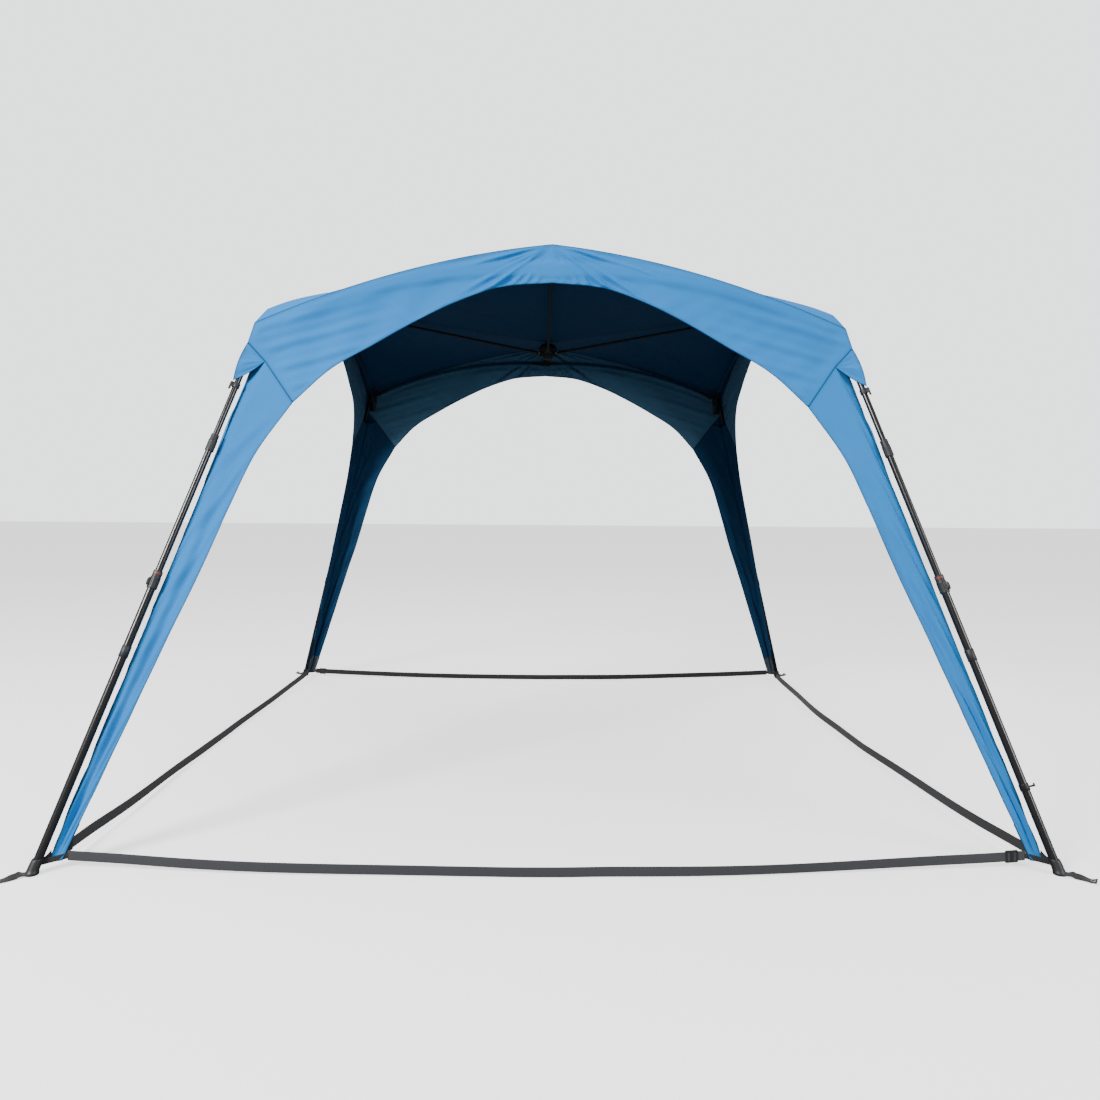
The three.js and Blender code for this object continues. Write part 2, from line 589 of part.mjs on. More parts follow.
CORNERS.forEach((name, k) => {
  const group = new THREE.Group();
  group.rotation.z = (k * PI) / 2;
  shelter.add(group);
  place(`knuckle_${name}`, shapes.knuckle, PLASTIC, group);

  const outward = new THREE.Group();
  outward.rotation.z = -PI / 4;
  group.add(outward);
  const leg = new THREE.Group();
  leg.position.set(KNUCKLE_HALF * SQRT2, 0, LEG_PIVOT_Z);
  leg.rotation.y = -LEG_TILT;
  outward.add(leg);
  place(`leg_upper_${name}`, shapes.upper, TUBE_STEEL, leg);
  place(`leg_middle_${name}`, shapes.middle, TUBE_STEEL, leg);
  place(`leg_lower_${name}`, shapes.lower, TUBE_STEEL, leg);
  place(`collar_upper_${name}`, shapes.upperCollar, PLASTIC, leg);
  place(`collar_lower_${name}`, shapes.lowerCollar, PLASTIC, leg);
  place(`hood_clip_${name}`, shapes.clip, PLASTIC, leg);
  if (name === "fr") place("side_hook_fr", sideHook(), TUBE_STEEL, leg);

  const ground = new THREE.Group();
  ground.position.set(FOOT_HALF * SQRT2, 0, 0);
  outward.add(ground);
  place(`foot_${name}`, shapes.foot, PLASTIC, ground);
});

place("canopy", thicken(canopySurface(), FABRIC), CANOPY_BLUE, shelter);

export default shelter;
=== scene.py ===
"""Looks of the pop-up day shelter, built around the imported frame. Metres, +Z up."""

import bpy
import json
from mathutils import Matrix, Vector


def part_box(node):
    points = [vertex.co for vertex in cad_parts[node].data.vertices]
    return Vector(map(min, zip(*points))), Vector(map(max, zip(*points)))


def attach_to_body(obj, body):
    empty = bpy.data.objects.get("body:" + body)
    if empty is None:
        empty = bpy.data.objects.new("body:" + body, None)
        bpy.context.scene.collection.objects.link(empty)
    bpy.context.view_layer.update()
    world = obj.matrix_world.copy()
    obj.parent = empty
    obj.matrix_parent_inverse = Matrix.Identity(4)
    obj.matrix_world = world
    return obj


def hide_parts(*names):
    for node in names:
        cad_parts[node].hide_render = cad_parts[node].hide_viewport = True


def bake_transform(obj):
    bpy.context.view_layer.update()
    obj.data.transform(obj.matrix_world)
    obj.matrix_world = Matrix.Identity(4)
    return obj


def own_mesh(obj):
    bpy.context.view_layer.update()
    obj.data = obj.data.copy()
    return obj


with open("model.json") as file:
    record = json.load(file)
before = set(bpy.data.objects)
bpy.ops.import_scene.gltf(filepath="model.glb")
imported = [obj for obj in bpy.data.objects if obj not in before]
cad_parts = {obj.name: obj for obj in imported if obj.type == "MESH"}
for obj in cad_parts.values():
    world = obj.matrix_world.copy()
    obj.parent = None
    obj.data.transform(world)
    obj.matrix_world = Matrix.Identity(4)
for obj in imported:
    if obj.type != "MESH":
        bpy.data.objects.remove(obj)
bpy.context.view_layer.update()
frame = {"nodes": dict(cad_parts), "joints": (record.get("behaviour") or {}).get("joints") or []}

import json
import math

import bmesh
import bpy
import numpy as np
from mathutils import Quaternion, Vector

SIDES = ["front", "right", "back", "left"]
CORNERS = ["fr", "br", "bl", "fl"]
JOINTS = {j["name"]: j for j in frame["joints"]}
SEED = 11


def place(joint):
    return np.array(JOINTS[joint]["pos_m"], float)


# ---- Places that the frame gives -------------------------------------------------------------
CANOPY_LOW, CANOPY_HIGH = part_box("canopy")
HUB_PIN = place("fold")
APEX_PIN = place("apex_front_fold")
ROD_PIN = place("rod_front_fr_fold")
KNUCKLE_PIN = place("knuckle_fr_fold")
LEG_PIN = place("leg_fr_swing")
LEG_DOWN = -np.array(JOINTS["leg_fr_middle_slide"]["axis"], float)
LEG_OUT = np.array([1, -1, 0]) / math.sqrt(2)
TILT = math.atan2(math.hypot(LEG_DOWN[0], LEG_DOWN[1]), -LEG_DOWN[2])
LEG_LENGTH = LEG_PIN[2] / -LEG_DOWN[2]

# ---- Canopy dimensions, which follow the CAD canopy ------------------------------------------
APEX_TOP = (1.136, CANOPY_HIGH[2])
SHOULDER = (1.172, 1.966)
EAVE_RISE = 0.050
RIDGE_SHARE, RIDGE_LIFT = 0.968, 0.030
HUB_TOP = 2.122
HOOD_TOP = (1.192, 1.887)
HOOD_TIP = (1.236, 1.732)
PANEL_TOP = (1.176, 1.795)
PANEL_FOOT = (1.715, CANOPY_LOW[2])
KNEE = (1.123, 1.812)
FACE_FOOT_Y, FACE_SPLAY, FACE_KINK = 1.720, 0.29, 1.89
DOOR_TOP = [(0, 2.140), (0.2, 2.122), (0.38, 2.060), (0.545, 1.978), (0.7, 1.888), (0.865, 1.784),
            (1.004, 1.647)]
DOOR_SIDE = [(1.004, 1.647), (1.128, 1.45), (1.212, 1.24), (1.298, 1.0), (1.385, 0.78), (1.518, 0.43),
             (1.670, 0.032)]
ROD_RISE = 0.064
CROWN_SAG = (0, 0.01, 0.024, 0.006)  # how much lower each side's doorway hangs than the CAD's
HEM, STITCH_IN, STITCH_LENGTH = 0.011, 0.0085, 0.0042
CELL = 0.013  # the cloth mesh's spacing
FINE_CELL = 0.008  # its spacing in the valances, which hold the sharpest creases
CLOTH, HEM_RISE = 0.0011, 0.0010  # its thickness, and how far a hem stands out


# ---- Small helpers ---------------------------------------------------------------------------
def smooth(x, low=0.0, high=1.0):
    t = np.clip((np.asarray(x, float) - low) / (high - low), 0, 1)
    return t * t * (3 - 2 * t)


def unit(v):
    v = np.asarray(v, float)
    return v / np.linalg.norm(v)


def turned(points, side):
    """Points of the front side as the same points of another side."""
    c, s = [(1, 0), (0, 1), (-1, 0), (0, -1)][side]
    p = np.asarray(points, float)
    return np.stack([c * p[..., 0] - s * p[..., 1], s * p[..., 0] + c * p[..., 1], p[..., 2]], -1)


def spline(points, count):
    """A Catmull-Rom curve through the points, as count points evenly spaced along it."""
    p = np.asarray(points, float)
    p = np.vstack([2 * p[0] - p[1], p, 2 * p[-1] - p[-2]])
    fine = []
    for i in range(1, len(p) - 2):
        t = np.linspace(0, 1, 60, endpoint=i == len(p) - 3)[:, None]
        a, b, c, d = p[i - 1], p[i], p[i + 1], p[i + 2]
        fine.append(0.5 * (2 * b + (c - a) * t + (2 * a - 5 * b + 4 * c - d) * t**2
                           + (3 * b - a - 3 * c + d) * t**3))
    return resample(np.vstack(fine), count)


def resample(line, count):
    step = np.linalg.norm(np.diff(line, axis=0), axis=1)
    at = np.concatenate([[0], np.cumsum(step)])
    want = np.linspace(0, at[-1], count)
    return np.stack([np.interp(want, at, line[:, i]) for i in range(3)], -1)


# ---- Materials -------------------------------------------------------------------------------
def material(name, color, roughness, metallic=0.0):
    m = bpy.data.materials.new(name)
    m.use_nodes = True
    shader = m.node_tree.nodes["Principled BSDF"]
    shader.inputs["Base Color"].default_value = (*color, 1)
    shader.inputs["Roughness"].default_value = roughness
    shader.inputs["Metallic"].default_value = metallic
    m.diffuse_color = (*color, 1)
    return m


def surface(name, color, roughness, metallic=0.0):
    """A new material, its shader and the piece's own coordinates."""
    m = material(name, color, roughness, metallic)
    return m, m.node_tree.nodes["Principled BSDF"], add(m, "ShaderNodeTexCoord").outputs["Object"]


def add(m, kind, **values):
    node = m.node_tree.nodes.new(kind)
    for key, value in values.items():
        if key in node.inputs:
            node.inputs[key].default_value = value
        else:
            setattr(node, key, value)
    return node


def link(m, a, b):
    m.node_tree.links.new(a, b)


def maths(m, operation, a, b=None):
    node = m.node_tree.nodes.new("ShaderNodeMath")
    node.operation = operation
    for socket, value in zip(node.inputs, (a, b)):
        if value is None:
            continue
        if isinstance(value, (int, float)):
            socket.default_value = value
        else:
            link(m, value, socket)
    return node.outputs[0]


def blend_colors(m, factor, a, b):
    node = m.node_tree.nodes.new("ShaderNodeMix")
    node.data_type = "RGBA"
    sockets = [s for s in node.inputs if s.type == "RGBA"]
    for socket, value in zip(sockets, (a, b)):
        if isinstance(value, tuple):
            socket.default_value = (*value, 1)
        else:
            link(m, value, socket)
    if isinstance(factor, (int, float)):
        node.inputs[0].default_value = factor
    else:
        link(m, factor, node.inputs[0])
    return [s for s in node.outputs if s.type == "RGBA"][0]


def noise(m, coordinates, scale, detail=3.0):
    node = add(m, "ShaderNodeTexNoise", Scale=scale, Detail=detail)
    link(m, coordinates, node.inputs["Vector"])
    return node.outputs["Fac"]


def bump(m, height, strength, distance, below=None):
    node = add(m, "ShaderNodeBump", Strength=strength, Distance=distance)
    link(m, height, node.inputs["Height"])
    if below is not None:
        link(m, below, node.inputs["Normal"])
    return node.outputs["Normal"]


def weave(m, uv, threads):
    """A plain weave from two crossed waves; threads is how many run in a metre."""
    parts = m.node_tree.nodes.new("ShaderNodeSeparateXYZ")
    link(m, uv, parts.inputs[0])
    waves = [maths(m, "SINE", maths(m, "MULTIPLY", parts.outputs[i], threads * math.pi)) for i in (0, 1)]
    return maths(m, "MULTIPLY", waves[0], waves[1])


def cloth_material(name, color, shade, thread_color, through=0, glow_color=None):
    """Coated plain-weave polyester with stitched seams. The mesh gives its UV in metres, the distance
    from its nearest stitched edge and the run along it. through is the share of glow_color's light that
    it lets pass."""
    m, shader, space = surface(name, color, 0.62)
    uv = add(m, "ShaderNodeUVMap", uv_map="cloth").outputs["UV"]
    edge = add(m, "ShaderNodeAttribute", attribute_name="edge").outputs["Fac"]
    run = add(m, "ShaderNodeAttribute", attribute_name="run").outputs["Fac"]
    mottle = noise(m, space, 2.2, 4.0)
    fine = noise(m, uv, 900.0, 2.0)
    tone = blend_colors(m, maths(m, "MULTIPLY", mottle, 0.8), color, shade)
    tone = blend_colors(m, maths(m, "MULTIPLY", fine, 0.2), tone, shade)
    # Painted shade: the hem band is a little darker, and a thin line along each seam and free edge much
    # darker, for the shade at the seams.
    hem = maths(m, "LESS_THAN", edge, HEM)
    tone = blend_colors(m, maths(m, "MULTIPLY", hem, 0.30), tone, tuple(0.6 * c for c in shade))
    rim = maths(m, "LESS_THAN", edge, 0.0028)
    tone = blend_colors(m, maths(m, "MULTIPLY", rim, 0.75), tone, tuple(0.25 * c for c in shade))
    from_row = maths(m, "ABSOLUTE", maths(m, "SUBTRACT", edge, STITCH_IN))
    dash = maths(m, "LESS_THAN", maths(m, "FRACT", maths(m, "DIVIDE", run, STITCH_LENGTH)), 0.62)
    stitch = maths(m, "MULTIPLY", maths(m, "LESS_THAN", from_row, 0.0006), dash)
    tone = blend_colors(m, maths(m, "MULTIPLY", stitch, 0.6), tone, thread_color)
    link(m, tone, shader.inputs["Base Color"])
    rough = maths(m, "ADD", maths(m, "MULTIPLY", fine, 0.14), 0.72)
    link(m, rough, shader.inputs["Roughness"])
    shader.inputs["Sheen Weight"].default_value = 0.02
    shader.inputs["Sheen Roughness"].default_value = 0.5
    shader.inputs["Specular IOR Level"].default_value = 0.16
    normal = bump(m, weave(m, uv, 1900.0), 0.25, 0.0002)
    normal = bump(m, mottle, 0.3, 0.004, normal)
    normal = bump(m, stitch, 0.6, 0.0006, normal)
    link(m, normal, shader.inputs["Normal"])
    if through:
        glow = add(m, "ShaderNodeBsdfTranslucent", Color=(*glow_color, 1))
        mix = add(m, "ShaderNodeMixShader", Fac=through)
        out = m.node_tree.nodes["Material Output"]
        link(m, shader.outputs[0], mix.inputs[1])
        link(m, glow.outputs[0], mix.inputs[2])
        link(m, mix.outputs[0], out.inputs["Surface"])
    return m


def webbing_material(name, color, shade):
    """Ribbed webbing with a herringbone twill and a little dust."""
    m, shader, space = surface(name, color, 0.8)
    uv = add(m, "ShaderNodeUVMap", uv_map="cloth").outputs["UV"]
    parts = m.node_tree.nodes.new("ShaderNodeSeparateXYZ")
    link(m, uv, parts.inputs[0])
    slant = maths(m, "ADD", maths(m, "MULTIPLY", parts.outputs[0], 900.0),
                  maths(m, "MULTIPLY", maths(m, "PINGPONG", parts.outputs[1], 0.0045), 900.0))
    twill = maths(m, "SINE", slant)
    ribs = maths(m, "SINE", maths(m, "MULTIPLY", parts.outputs[1], 2200.0))
    weft = maths(m, "MULTIPLY", maths(m, "ADD", twill, ribs), 0.5)
    dust = noise(m, space, 16.0)
    tone = blend_colors(m, maths(m, "MULTIPLY_ADD", weft, 0.3), color, shade)
    tone = blend_colors(m, maths(m, "MULTIPLY", dust, 0.35), tone, shade)
    link(m, tone, shader.inputs["Base Color"])
    shader.inputs["Sheen Weight"].default_value = 0.25
    link(m, bump(m, weft, 0.5, 0.0004), shader.inputs["Normal"])
    return m


def plastic_material(name, color, worn):
    """Injection-moulded plastic with a fine spark-eroded grain and slightly rubbed edges."""
    m, shader, space = surface(name, color, 0.5)
    grain = noise(m, space, 1400.0, 2.0)
    patch = noise(m, space, 30.0, 4.0)
    edges = add(m, "ShaderNodeBevel", Radius=0.0012)
    geometry = add(m, "ShaderNodeNewGeometry")
    apart = m.node_tree.nodes.new("ShaderNodeVectorMath")
    apart.operation = "DOT_PRODUCT"
    link(m, edges.outputs[0], apart.inputs[0])
    link(m, geometry.outputs["Normal"], apart.inputs[1])
    wear = maths(m, "MULTIPLY", maths(m, "LESS_THAN", apart.outputs["Value"], 0.97), patch)
    tone = blend_colors(m, maths(m, "MULTIPLY", wear, 0.6), color, worn)
    link(m, tone, shader.inputs["Base Color"])
    link(m, maths(m, "ADD", maths(m, "MULTIPLY", patch, 0.25), 0.38), shader.inputs["Roughness"])
    link(m, bump(m, grain, 0.25, 0.0002), shader.inputs["Normal"])
    return m


def tube_material(name, color, worn, metallic, rough, coat=0.4):
    """Coated tube: slight orange peel, fine rub marks along its length."""
    m, shader, space = surface(name, color, rough, metallic)
    stretch = add(m, "ShaderNodeMapping")
    stretch.inputs["Scale"].default_value = (60, 60, 3)
    link(m, space, stretch.inputs["Vector"])
    rubs = noise(m, stretch.outputs[0], 6.0, 5.0)
    peel = noise(m, space, 420.0, 2.0)
    tone = blend_colors(m, maths(m, "MULTIPLY", rubs, 0.4), color, worn)
    link(m, tone, shader.inputs["Base Color"])
    link(m, maths(m, "ADD", maths(m, "MULTIPLY", rubs, 0.16), rough - 0.08), shader.inputs["Roughness"])
    shader.inputs["Coat Weight"].default_value = coat
    shader.inputs["Coat Roughness"].default_value = 0.2
    link(m, bump(m, peel, 0.1, 0.0003), shader.inputs["Normal"])
    return m


FABRIC_OUT = cloth_material("canopy_cloth", (0.020, 0.215, 0.56), (0.012, 0.165, 0.46), (0.10, 0.34, 0.66))
# Painted shade: the reverse face of the roof, panels and hoods is painted dark navy for the shade under the
# canopy.
FABRIC_IN_SHADED = cloth_material("canopy_cloth_reverse", (0.016, 0.088, 0.21), (0.011, 0.064, 0.16),
                           (0.04, 0.14, 0.26), 0.16, (0.03, 0.2, 0.46))
# Painted light: a paler copy of the reverse for the valances' inside, where daylight shows through.
FABRIC_LIT = cloth_material("canopy_cloth_reverse_lit", (0.10, 0.25, 0.40), (0.075, 0.19, 0.32),
                            (0.12, 0.24, 0.34))
# Painted shade: the rod sleeves are the canopy's blue cloth, painted dark navy for the shade under the
# eaves.
SLEEVE_CLOTH_SHADED = cloth_material("rod_sleeve_cloth", (0.016, 0.07, 0.15), (0.012, 0.052, 0.115),
                              (0.05, 0.14, 0.22))
PATCH_GREY = cloth_material("patch_cloth", (0.10, 0.125, 0.155), (0.075, 0.095, 0.12), (0.24, 0.27, 0.3))
WEBBING = webbing_material("webbing_charcoal", (0.045, 0.046, 0.055), (0.02, 0.02, 0.024))
WEBBING_BLACK = webbing_material("webbing_black", (0.016, 0.016, 0.019), (0.007, 0.007, 0.008))
PLASTIC = plastic_material("moulded_black", (0.012, 0.013, 0.014), (0.06, 0.06, 0.062))
RING_RED = plastic_material("collar_ring_red", (0.16, 0.03, 0.022), (0.3, 0.09, 0.07))
TUBE = tube_material("leg_tube_gloss_black", (0.016, 0.0155, 0.016), (0.034, 0.033, 0.033), 0.55, 0.28)
ROD = tube_material("frame_rod_black", (0.009, 0.010, 0.012), (0.016, 0.017, 0.02), 0.0, 0.62, 0.0)
PIN = tube_material("pin_steel", (0.42, 0.42, 0.43), (0.28, 0.28, 0.29), 1.0, 0.35)


# ---- Mesh building ---------------------------------------------------------------------------
def mesh_object(name, verts, faces, materials, smooth_angle=None):
    mesh = bpy.data.meshes.new(name)
    mesh.from_pydata([tuple(v) for v in verts], [], [tuple(int(i) for i in f) for f in faces])
    mesh.validate()
    mesh.shade_smooth()
    if smooth_angle is not None:
        mesh.set_sharp_from_angle(angle=math.radians(smooth_angle))
    for m in materials:
        mesh.materials.append(m)
    obj = bpy.data.objects.new(name, mesh)
    bpy.context.scene.collection.objects.link(obj)
    return obj


def grid_faces(rows, columns, start=0, flip=False, wrap=False):
    index = np.arange(rows * columns).reshape(rows, columns) + start
    if wrap:
        index = np.concatenate([index, index[:, :1]], 1)
    a, b, c, d = index[:-1, :-1], index[1:, :-1], index[1:, 1:], index[:-1, 1:]
    order = (a, d, c, b) if flip else (a, b, c, d)
    return np.stack(order, -1).reshape(-1, 4)


class Patch:
    """A grid of cloth: rows x columns of points, with what its material needs at each point."""

    def __init__(self, points, group, edge, uv, flip):
        self.points, self.group, self.edge, self.uv, self.flip = points, group, edge, uv, flip
        self.normals = None


def face_sums(patch):
    p = patch.points
    a, b, c, d = p[:-1, :-1], p[1:, :-1], p[1:, 1:], p[:-1, 1:]
    n = np.cross(c - a, d - b)
    if patch.flip:
        n = -n
    total = np.zeros_like(p)
    for rows, columns in ((slice(None, -1), slice(None, -1)), (slice(1, None), slice(None, -1)),
                          (slice(1, None), slice(1, None)), (slice(None, -1), slice(1, None))):
        total[rows, columns] += n
    return total


def share_normals(patches):
    """Smooth normals, shared where patches of one group meet."""
    for group in sorted({p.group for p in patches}):
        members = [p for p in patches if p.group == group]
        places = np.concatenate([p.points.reshape(-1, 3) for p in members])
        sums = np.concatenate([face_sums(p).reshape(-1, 3) for p in members])
        _, where = np.unique(np.round(places * 5e3).astype(int), axis=0, return_inverse=True)
        where = where.ravel()
        total = np.zeros((where.max() + 1, 3))
        np.add.at(total, where, sums)
        total /= np.maximum(np.linalg.norm(total, axis=1, keepdims=True), 1e-12)
        normals = total[where]
        start = 0
        for p in members:
            count = p.points.shape[0] * p.points.shape[1]
            p.normals = normals[start:start + count].reshape(p.points.shape)
            start += count


def cloth_piece(name, patches, outside, inside):
    """One closed thin piece of cloth made of patches, each with its outer and inner face and rim."""
    verts, normals, faces, slots, edges, uvs = [], [], [], [], [], []
    start = 0
    for p in patches:
        rows, columns = p.points.shape[:2]
        count = rows * columns
        outer = p.points.reshape(-1, 3)
        n = p.normals.reshape(-1, 3)
        verts += [outer, outer - n * CLOTH]
        normals += [n, -n]
        edges += [p.edge.reshape(-1, 2)] * 2
        uvs += [p.uv.reshape(-1, 2)] * 2
        top = grid_faces(rows, columns, start, p.flip)
        low = grid_faces(rows, columns, start + count, not p.flip)
        index = np.arange(count).reshape(rows, columns) + start
        loop = np.concatenate([index[0], index[1:, -1], index[-1, -2::-1], index[-2:0:-1, 0]])
        ahead = np.roll(loop, -1)
        rim = np.stack([loop, ahead, ahead + count, loop + count], -1)
        if not p.flip:
            rim = rim[:, ::-1]
        faces += [top, low, rim]
        slots += [np.zeros(len(top)), np.ones(len(low)), np.zeros(len(rim))]
        start += 2 * count
    faces = np.concatenate(faces)
    obj = mesh_object(name, np.concatenate(verts), faces, [outside, inside])
    mesh = obj.data
    mesh.polygons.foreach_set("material_index", np.concatenate(slots).astype(np.int32))
    both = np.concatenate(edges)
    for key, column in (("edge", 0), ("run", 1)):
        mesh.attributes.new(key, "FLOAT", "POINT").data.foreach_set(
            "value", both[:, column].astype(np.float32))
    layer = mesh.uv_layers.new(name="cloth")
    layer.data.foreach_set("uv", np.concatenate(uvs)[faces.ravel()].astype(np.float32).ravel())
    mesh.normals_split_custom_set_from_vertices(np.concatenate(normals).tolist())
    return obj


def lengths(points, axis):
    """Distance run along a grid's rows or columns, in metres, along each of its lines."""
    step = np.linalg.norm(np.diff(points, axis=axis), axis=-1)
    run = np.concatenate([np.zeros_like(step.take([0], axis)), np.cumsum(step, axis)], axis)
    return run


def patch_of(points, group, stitched, side, half):
    """A patch placed on its side and half. stitched names the grid's stitched borders."""
    rows, columns = lengths(points, 0), lengths(points, 1)
    far = np.full(points.shape[:2], 1.0)
    run = np.zeros(points.shape[:2])
    borders = {"row0": (rows, columns), "row1": (rows[-1:] - rows, columns),
               "col0": (columns, rows), "col1": (columns[:, -1:] - columns, rows)}
    for key in stitched:
        distance, ahead = borders[key]
        nearer = distance < far
        far = np.where(nearer, distance, far)
        run = np.where(nearer, ahead, run)
    placed = turned(points * np.array([half, 1, 1]), side)
    # Each patch takes its weave from another place.
    uv = np.stack([columns + 3.1 * side, rows + 1.7 * half], -1)
    return Patch(placed, group, np.stack([far, run], -1), uv, half < 0)


# ---- The canopy's shape, as the right half of the front --------------------------------------
def face_y(z):
    z = np.asarray(z, float)
    kink_y = FACE_FOOT_Y - FACE_SPLAY * FACE_KINK
    high = kink_y + (z - FACE_KINK) * (APEX_TOP[0] - kink_y) / (APEX_TOP[1] - FACE_KINK)
    return -np.where(z < FACE_KINK, FACE_FOOT_Y - FACE_SPLAY * z, high)


def on_face(points):
    p = np.asarray(points, float)
    return np.stack([p[:, 0], face_y(p[:, 1]), p[:, 1]], -1)


def corner(point):
    return np.array([point[0], -point[0], point[1]])


def eave(t):
    t = np.asarray(t, float)[..., None]
    apex = np.array([0, -APEX_TOP[0], APEX_TOP[1]])
    line = apex + (corner(SHOULDER) - apex) * t
    line[..., 2] += (4 * EAVE_RISE * t * (1 - t))[..., 0]
    return line


KNEE_POINT = np.array([KNEE[0], face_y(KNEE[1]) - 0.002, KNEE[1]])
SEAM_FOOT = on_face([DOOR_TOP[-1]])[0]
SEAM = [(0, SEAM_FOOT), (0.54, KNEE_POINT), (0.8, corner(HOOD_TOP)), (1, corner(SHOULDER))]
UNDER_HOOD = [(0, SEAM_FOOT), (0.6, KNEE_POINT), (1, corner(PANEL_TOP))]


def along(stops, w):
    """Points at shares w of a line of straight runs; stops are (share, point)."""
    shares = [share for share, _ in stops]
    return np.stack([np.interp(w, shares, [point[i] for _, point in stops]) for i in range(3)], -1)


def stray(stops, w):
    """How far a line of straight runs lies from the straight line between its ends."""
    w = np.asarray(w, float)
    return along(stops, w) - (stops[0][1] + (stops[-1][1] - stops[0][1]) * w[:, None])


def wander(rng, x, waves, lowest=1.0, highest=6.0):
    """A smooth random curve of x in 0..1, about -1..1."""
    total = np.zeros_like(np.asarray(x, float))
    for _ in range(waves):
        total += math.sqrt(1 / waves) * np.sin(2 * math.pi * rng.uniform(lowest, highest) * x
                                               + rng.uniform(0, 2 * math.pi))
    return total


def push(points, amount, outward):
    return points + np.asarray(amount)[..., None] * np.asarray(outward)


def hemmed(points):
    """The cloth with the second layer of its doorway's hem."""
    return push(points, HEM_RISE * (1 - smooth(lengths(points, 1), HEM, HEM + 0.0025)), (0, -1, 0))


def crease(distance, width):
    """A fold's cross-section: a rounded ridge with a shallow valley beside it."""
    t = distance / width
    return np.exp(-t * t) - 0.55 * np.exp(-((t - 1.5) / 1.1) ** 2)


APEX_CREASES = {  # per half of the front: angle below level, length, height, width at 0.3 m
    1: [(15, 0.60, 0.011, 0.011), (22, 0.40, 0.010, 0.009), (29, 0.56, 0.014, 0.011),
        (38, 0.72, 0.019, 0.014), (47, 0.36, 0.011, 0.010), (57, 0.30, 0.012, 0.011),
        (73, 0.22, 0.009, 0.010)],
    -1: [(14, 0.55, 0.010, 0.011), (21, 0.38, 0.009, 0.009), (27, 0.48, 0.013, 0.011),
         (35, 0.64, 0.017, 0.014), (45, 0.36, 0.011, 0.010), (55, 0.30, 0.011, 0.011),
         (68, 0.24, 0.010, 0.010)],
}


def apex_creases(x, z, side, half, rng):
    dx, dz = x, APEX_TOP[1] - z
    r = np.hypot(dx, dz)
    angle = np.degrees(np.arctan2(dz, np.maximum(dx, 1e-6)))
    total = np.zeros_like(r)
    for at, length, height, width in APEX_CREASES[half]:
        if side:
            at, height = at + rng.uniform(-7, 7), height * rng.uniform(0.6, 1.2)
        off = np.radians(angle - at - 5 * r) * r
        fade = smooth(r, 0.015, 0.10) * (1 - smooth(r, 0.4 * length, length))
        total += height * fade * crease(off, width * (0.4 + r / 0.55))
    return total


def rod_height(x):
    """The height of the right front edge rod at a distance from the middle."""
    t = np.clip((x - ROD_PIN[0]) / (KNUCKLE_PIN[0] - ROD_PIN[0]), 0, 1)
    return ROD_PIN[2] + (KNUCKLE_PIN[2] - ROD_PIN[2]) * t + 4 * ROD_RISE * t * (1 - t)


def valance(side, half, rng):
    count, rows = round(1.24 / FINE_CELL), 44
    t = np.linspace(0, 1, count + 1)
    w = np.linspace(0, 1, rows + 1)
    door = spline(on_face(DOOR_TOP), count + 1)
    door[:, 2] -= CROWN_SAG[side] * (1 - smooth(t, 0.1, 0.95))
    top = eave(t)
    straight = door[:, None] + (top - door)[:, None] * w[None, :, None]
    points = straight + stray(SEAM, w)[None] * (t**3)[:, None, None]
    x, z = points[..., 0], points[..., 2]
    tt, ww = np.meshgrid(t, w, indexing="ij")
    held = smooth(ww, 0, 0.06) * smooth(1 - ww, 0, 0.10) * smooth(1 - tt, 0, 0.05) * smooth(tt, 0, 0.03)
    folds = apex_creases(x, z, side, half, rng)
    # Long soft folds beside the shoulder, nearly level, running out to the hood.
    level = (z - HOOD_TOP[1]) + 0.30 * (x - HOOD_TOP[0])
    near = smooth(tt, 0.45, 0.85)
    folds += 0.0026 * near * np.sin(level * 2 * math.pi / 0.088 + 1.2 * np.sin(x * 5) + rng.uniform(0, 6))
    folds += 0.0018 * near * np.sin(level * 2 * math.pi / 0.047 + rng.uniform(0, 6))
    # Broad pulls along the eave and the hem.
    folds += 0.0035 * wander(rng, tt * 1.3 + 0.25 * ww, 4, 1.0, 4.5) * smooth(tt, 0.05, 0.3)
    folds += 0.0014 * wander(rng, tt * 2.3 - 0.35 * ww, 4, 3.0, 9.0) * (1 - ww)
    folds -= 0.007 * np.sin(math.pi * ww)
    # The edge rod and the mid-edge joint behind the cloth keep it from sinking in there.
    folds = folds * held
    rod = np.exp(-((z - rod_height(x)) / 0.032) ** 4) * smooth(1 - ww, 0, 0.10) * smooth(1 - tt, 0, 0.05)
    folds = np.where(folds < 0.002, folds * (1 - rod) + 0.002 * rod, folds)
    joint = np.exp(-(x / 0.075) ** 4 - ((z - ROD_PIN[2]) / 0.035) ** 4)
    folds = folds * (1 - joint) + 0.005 * joint
    points = push(points, folds, (0, -1, 0.12))
    return patch_of(hemmed(points), f"face{side}", ("col0", "col1", "row1"), side, half)


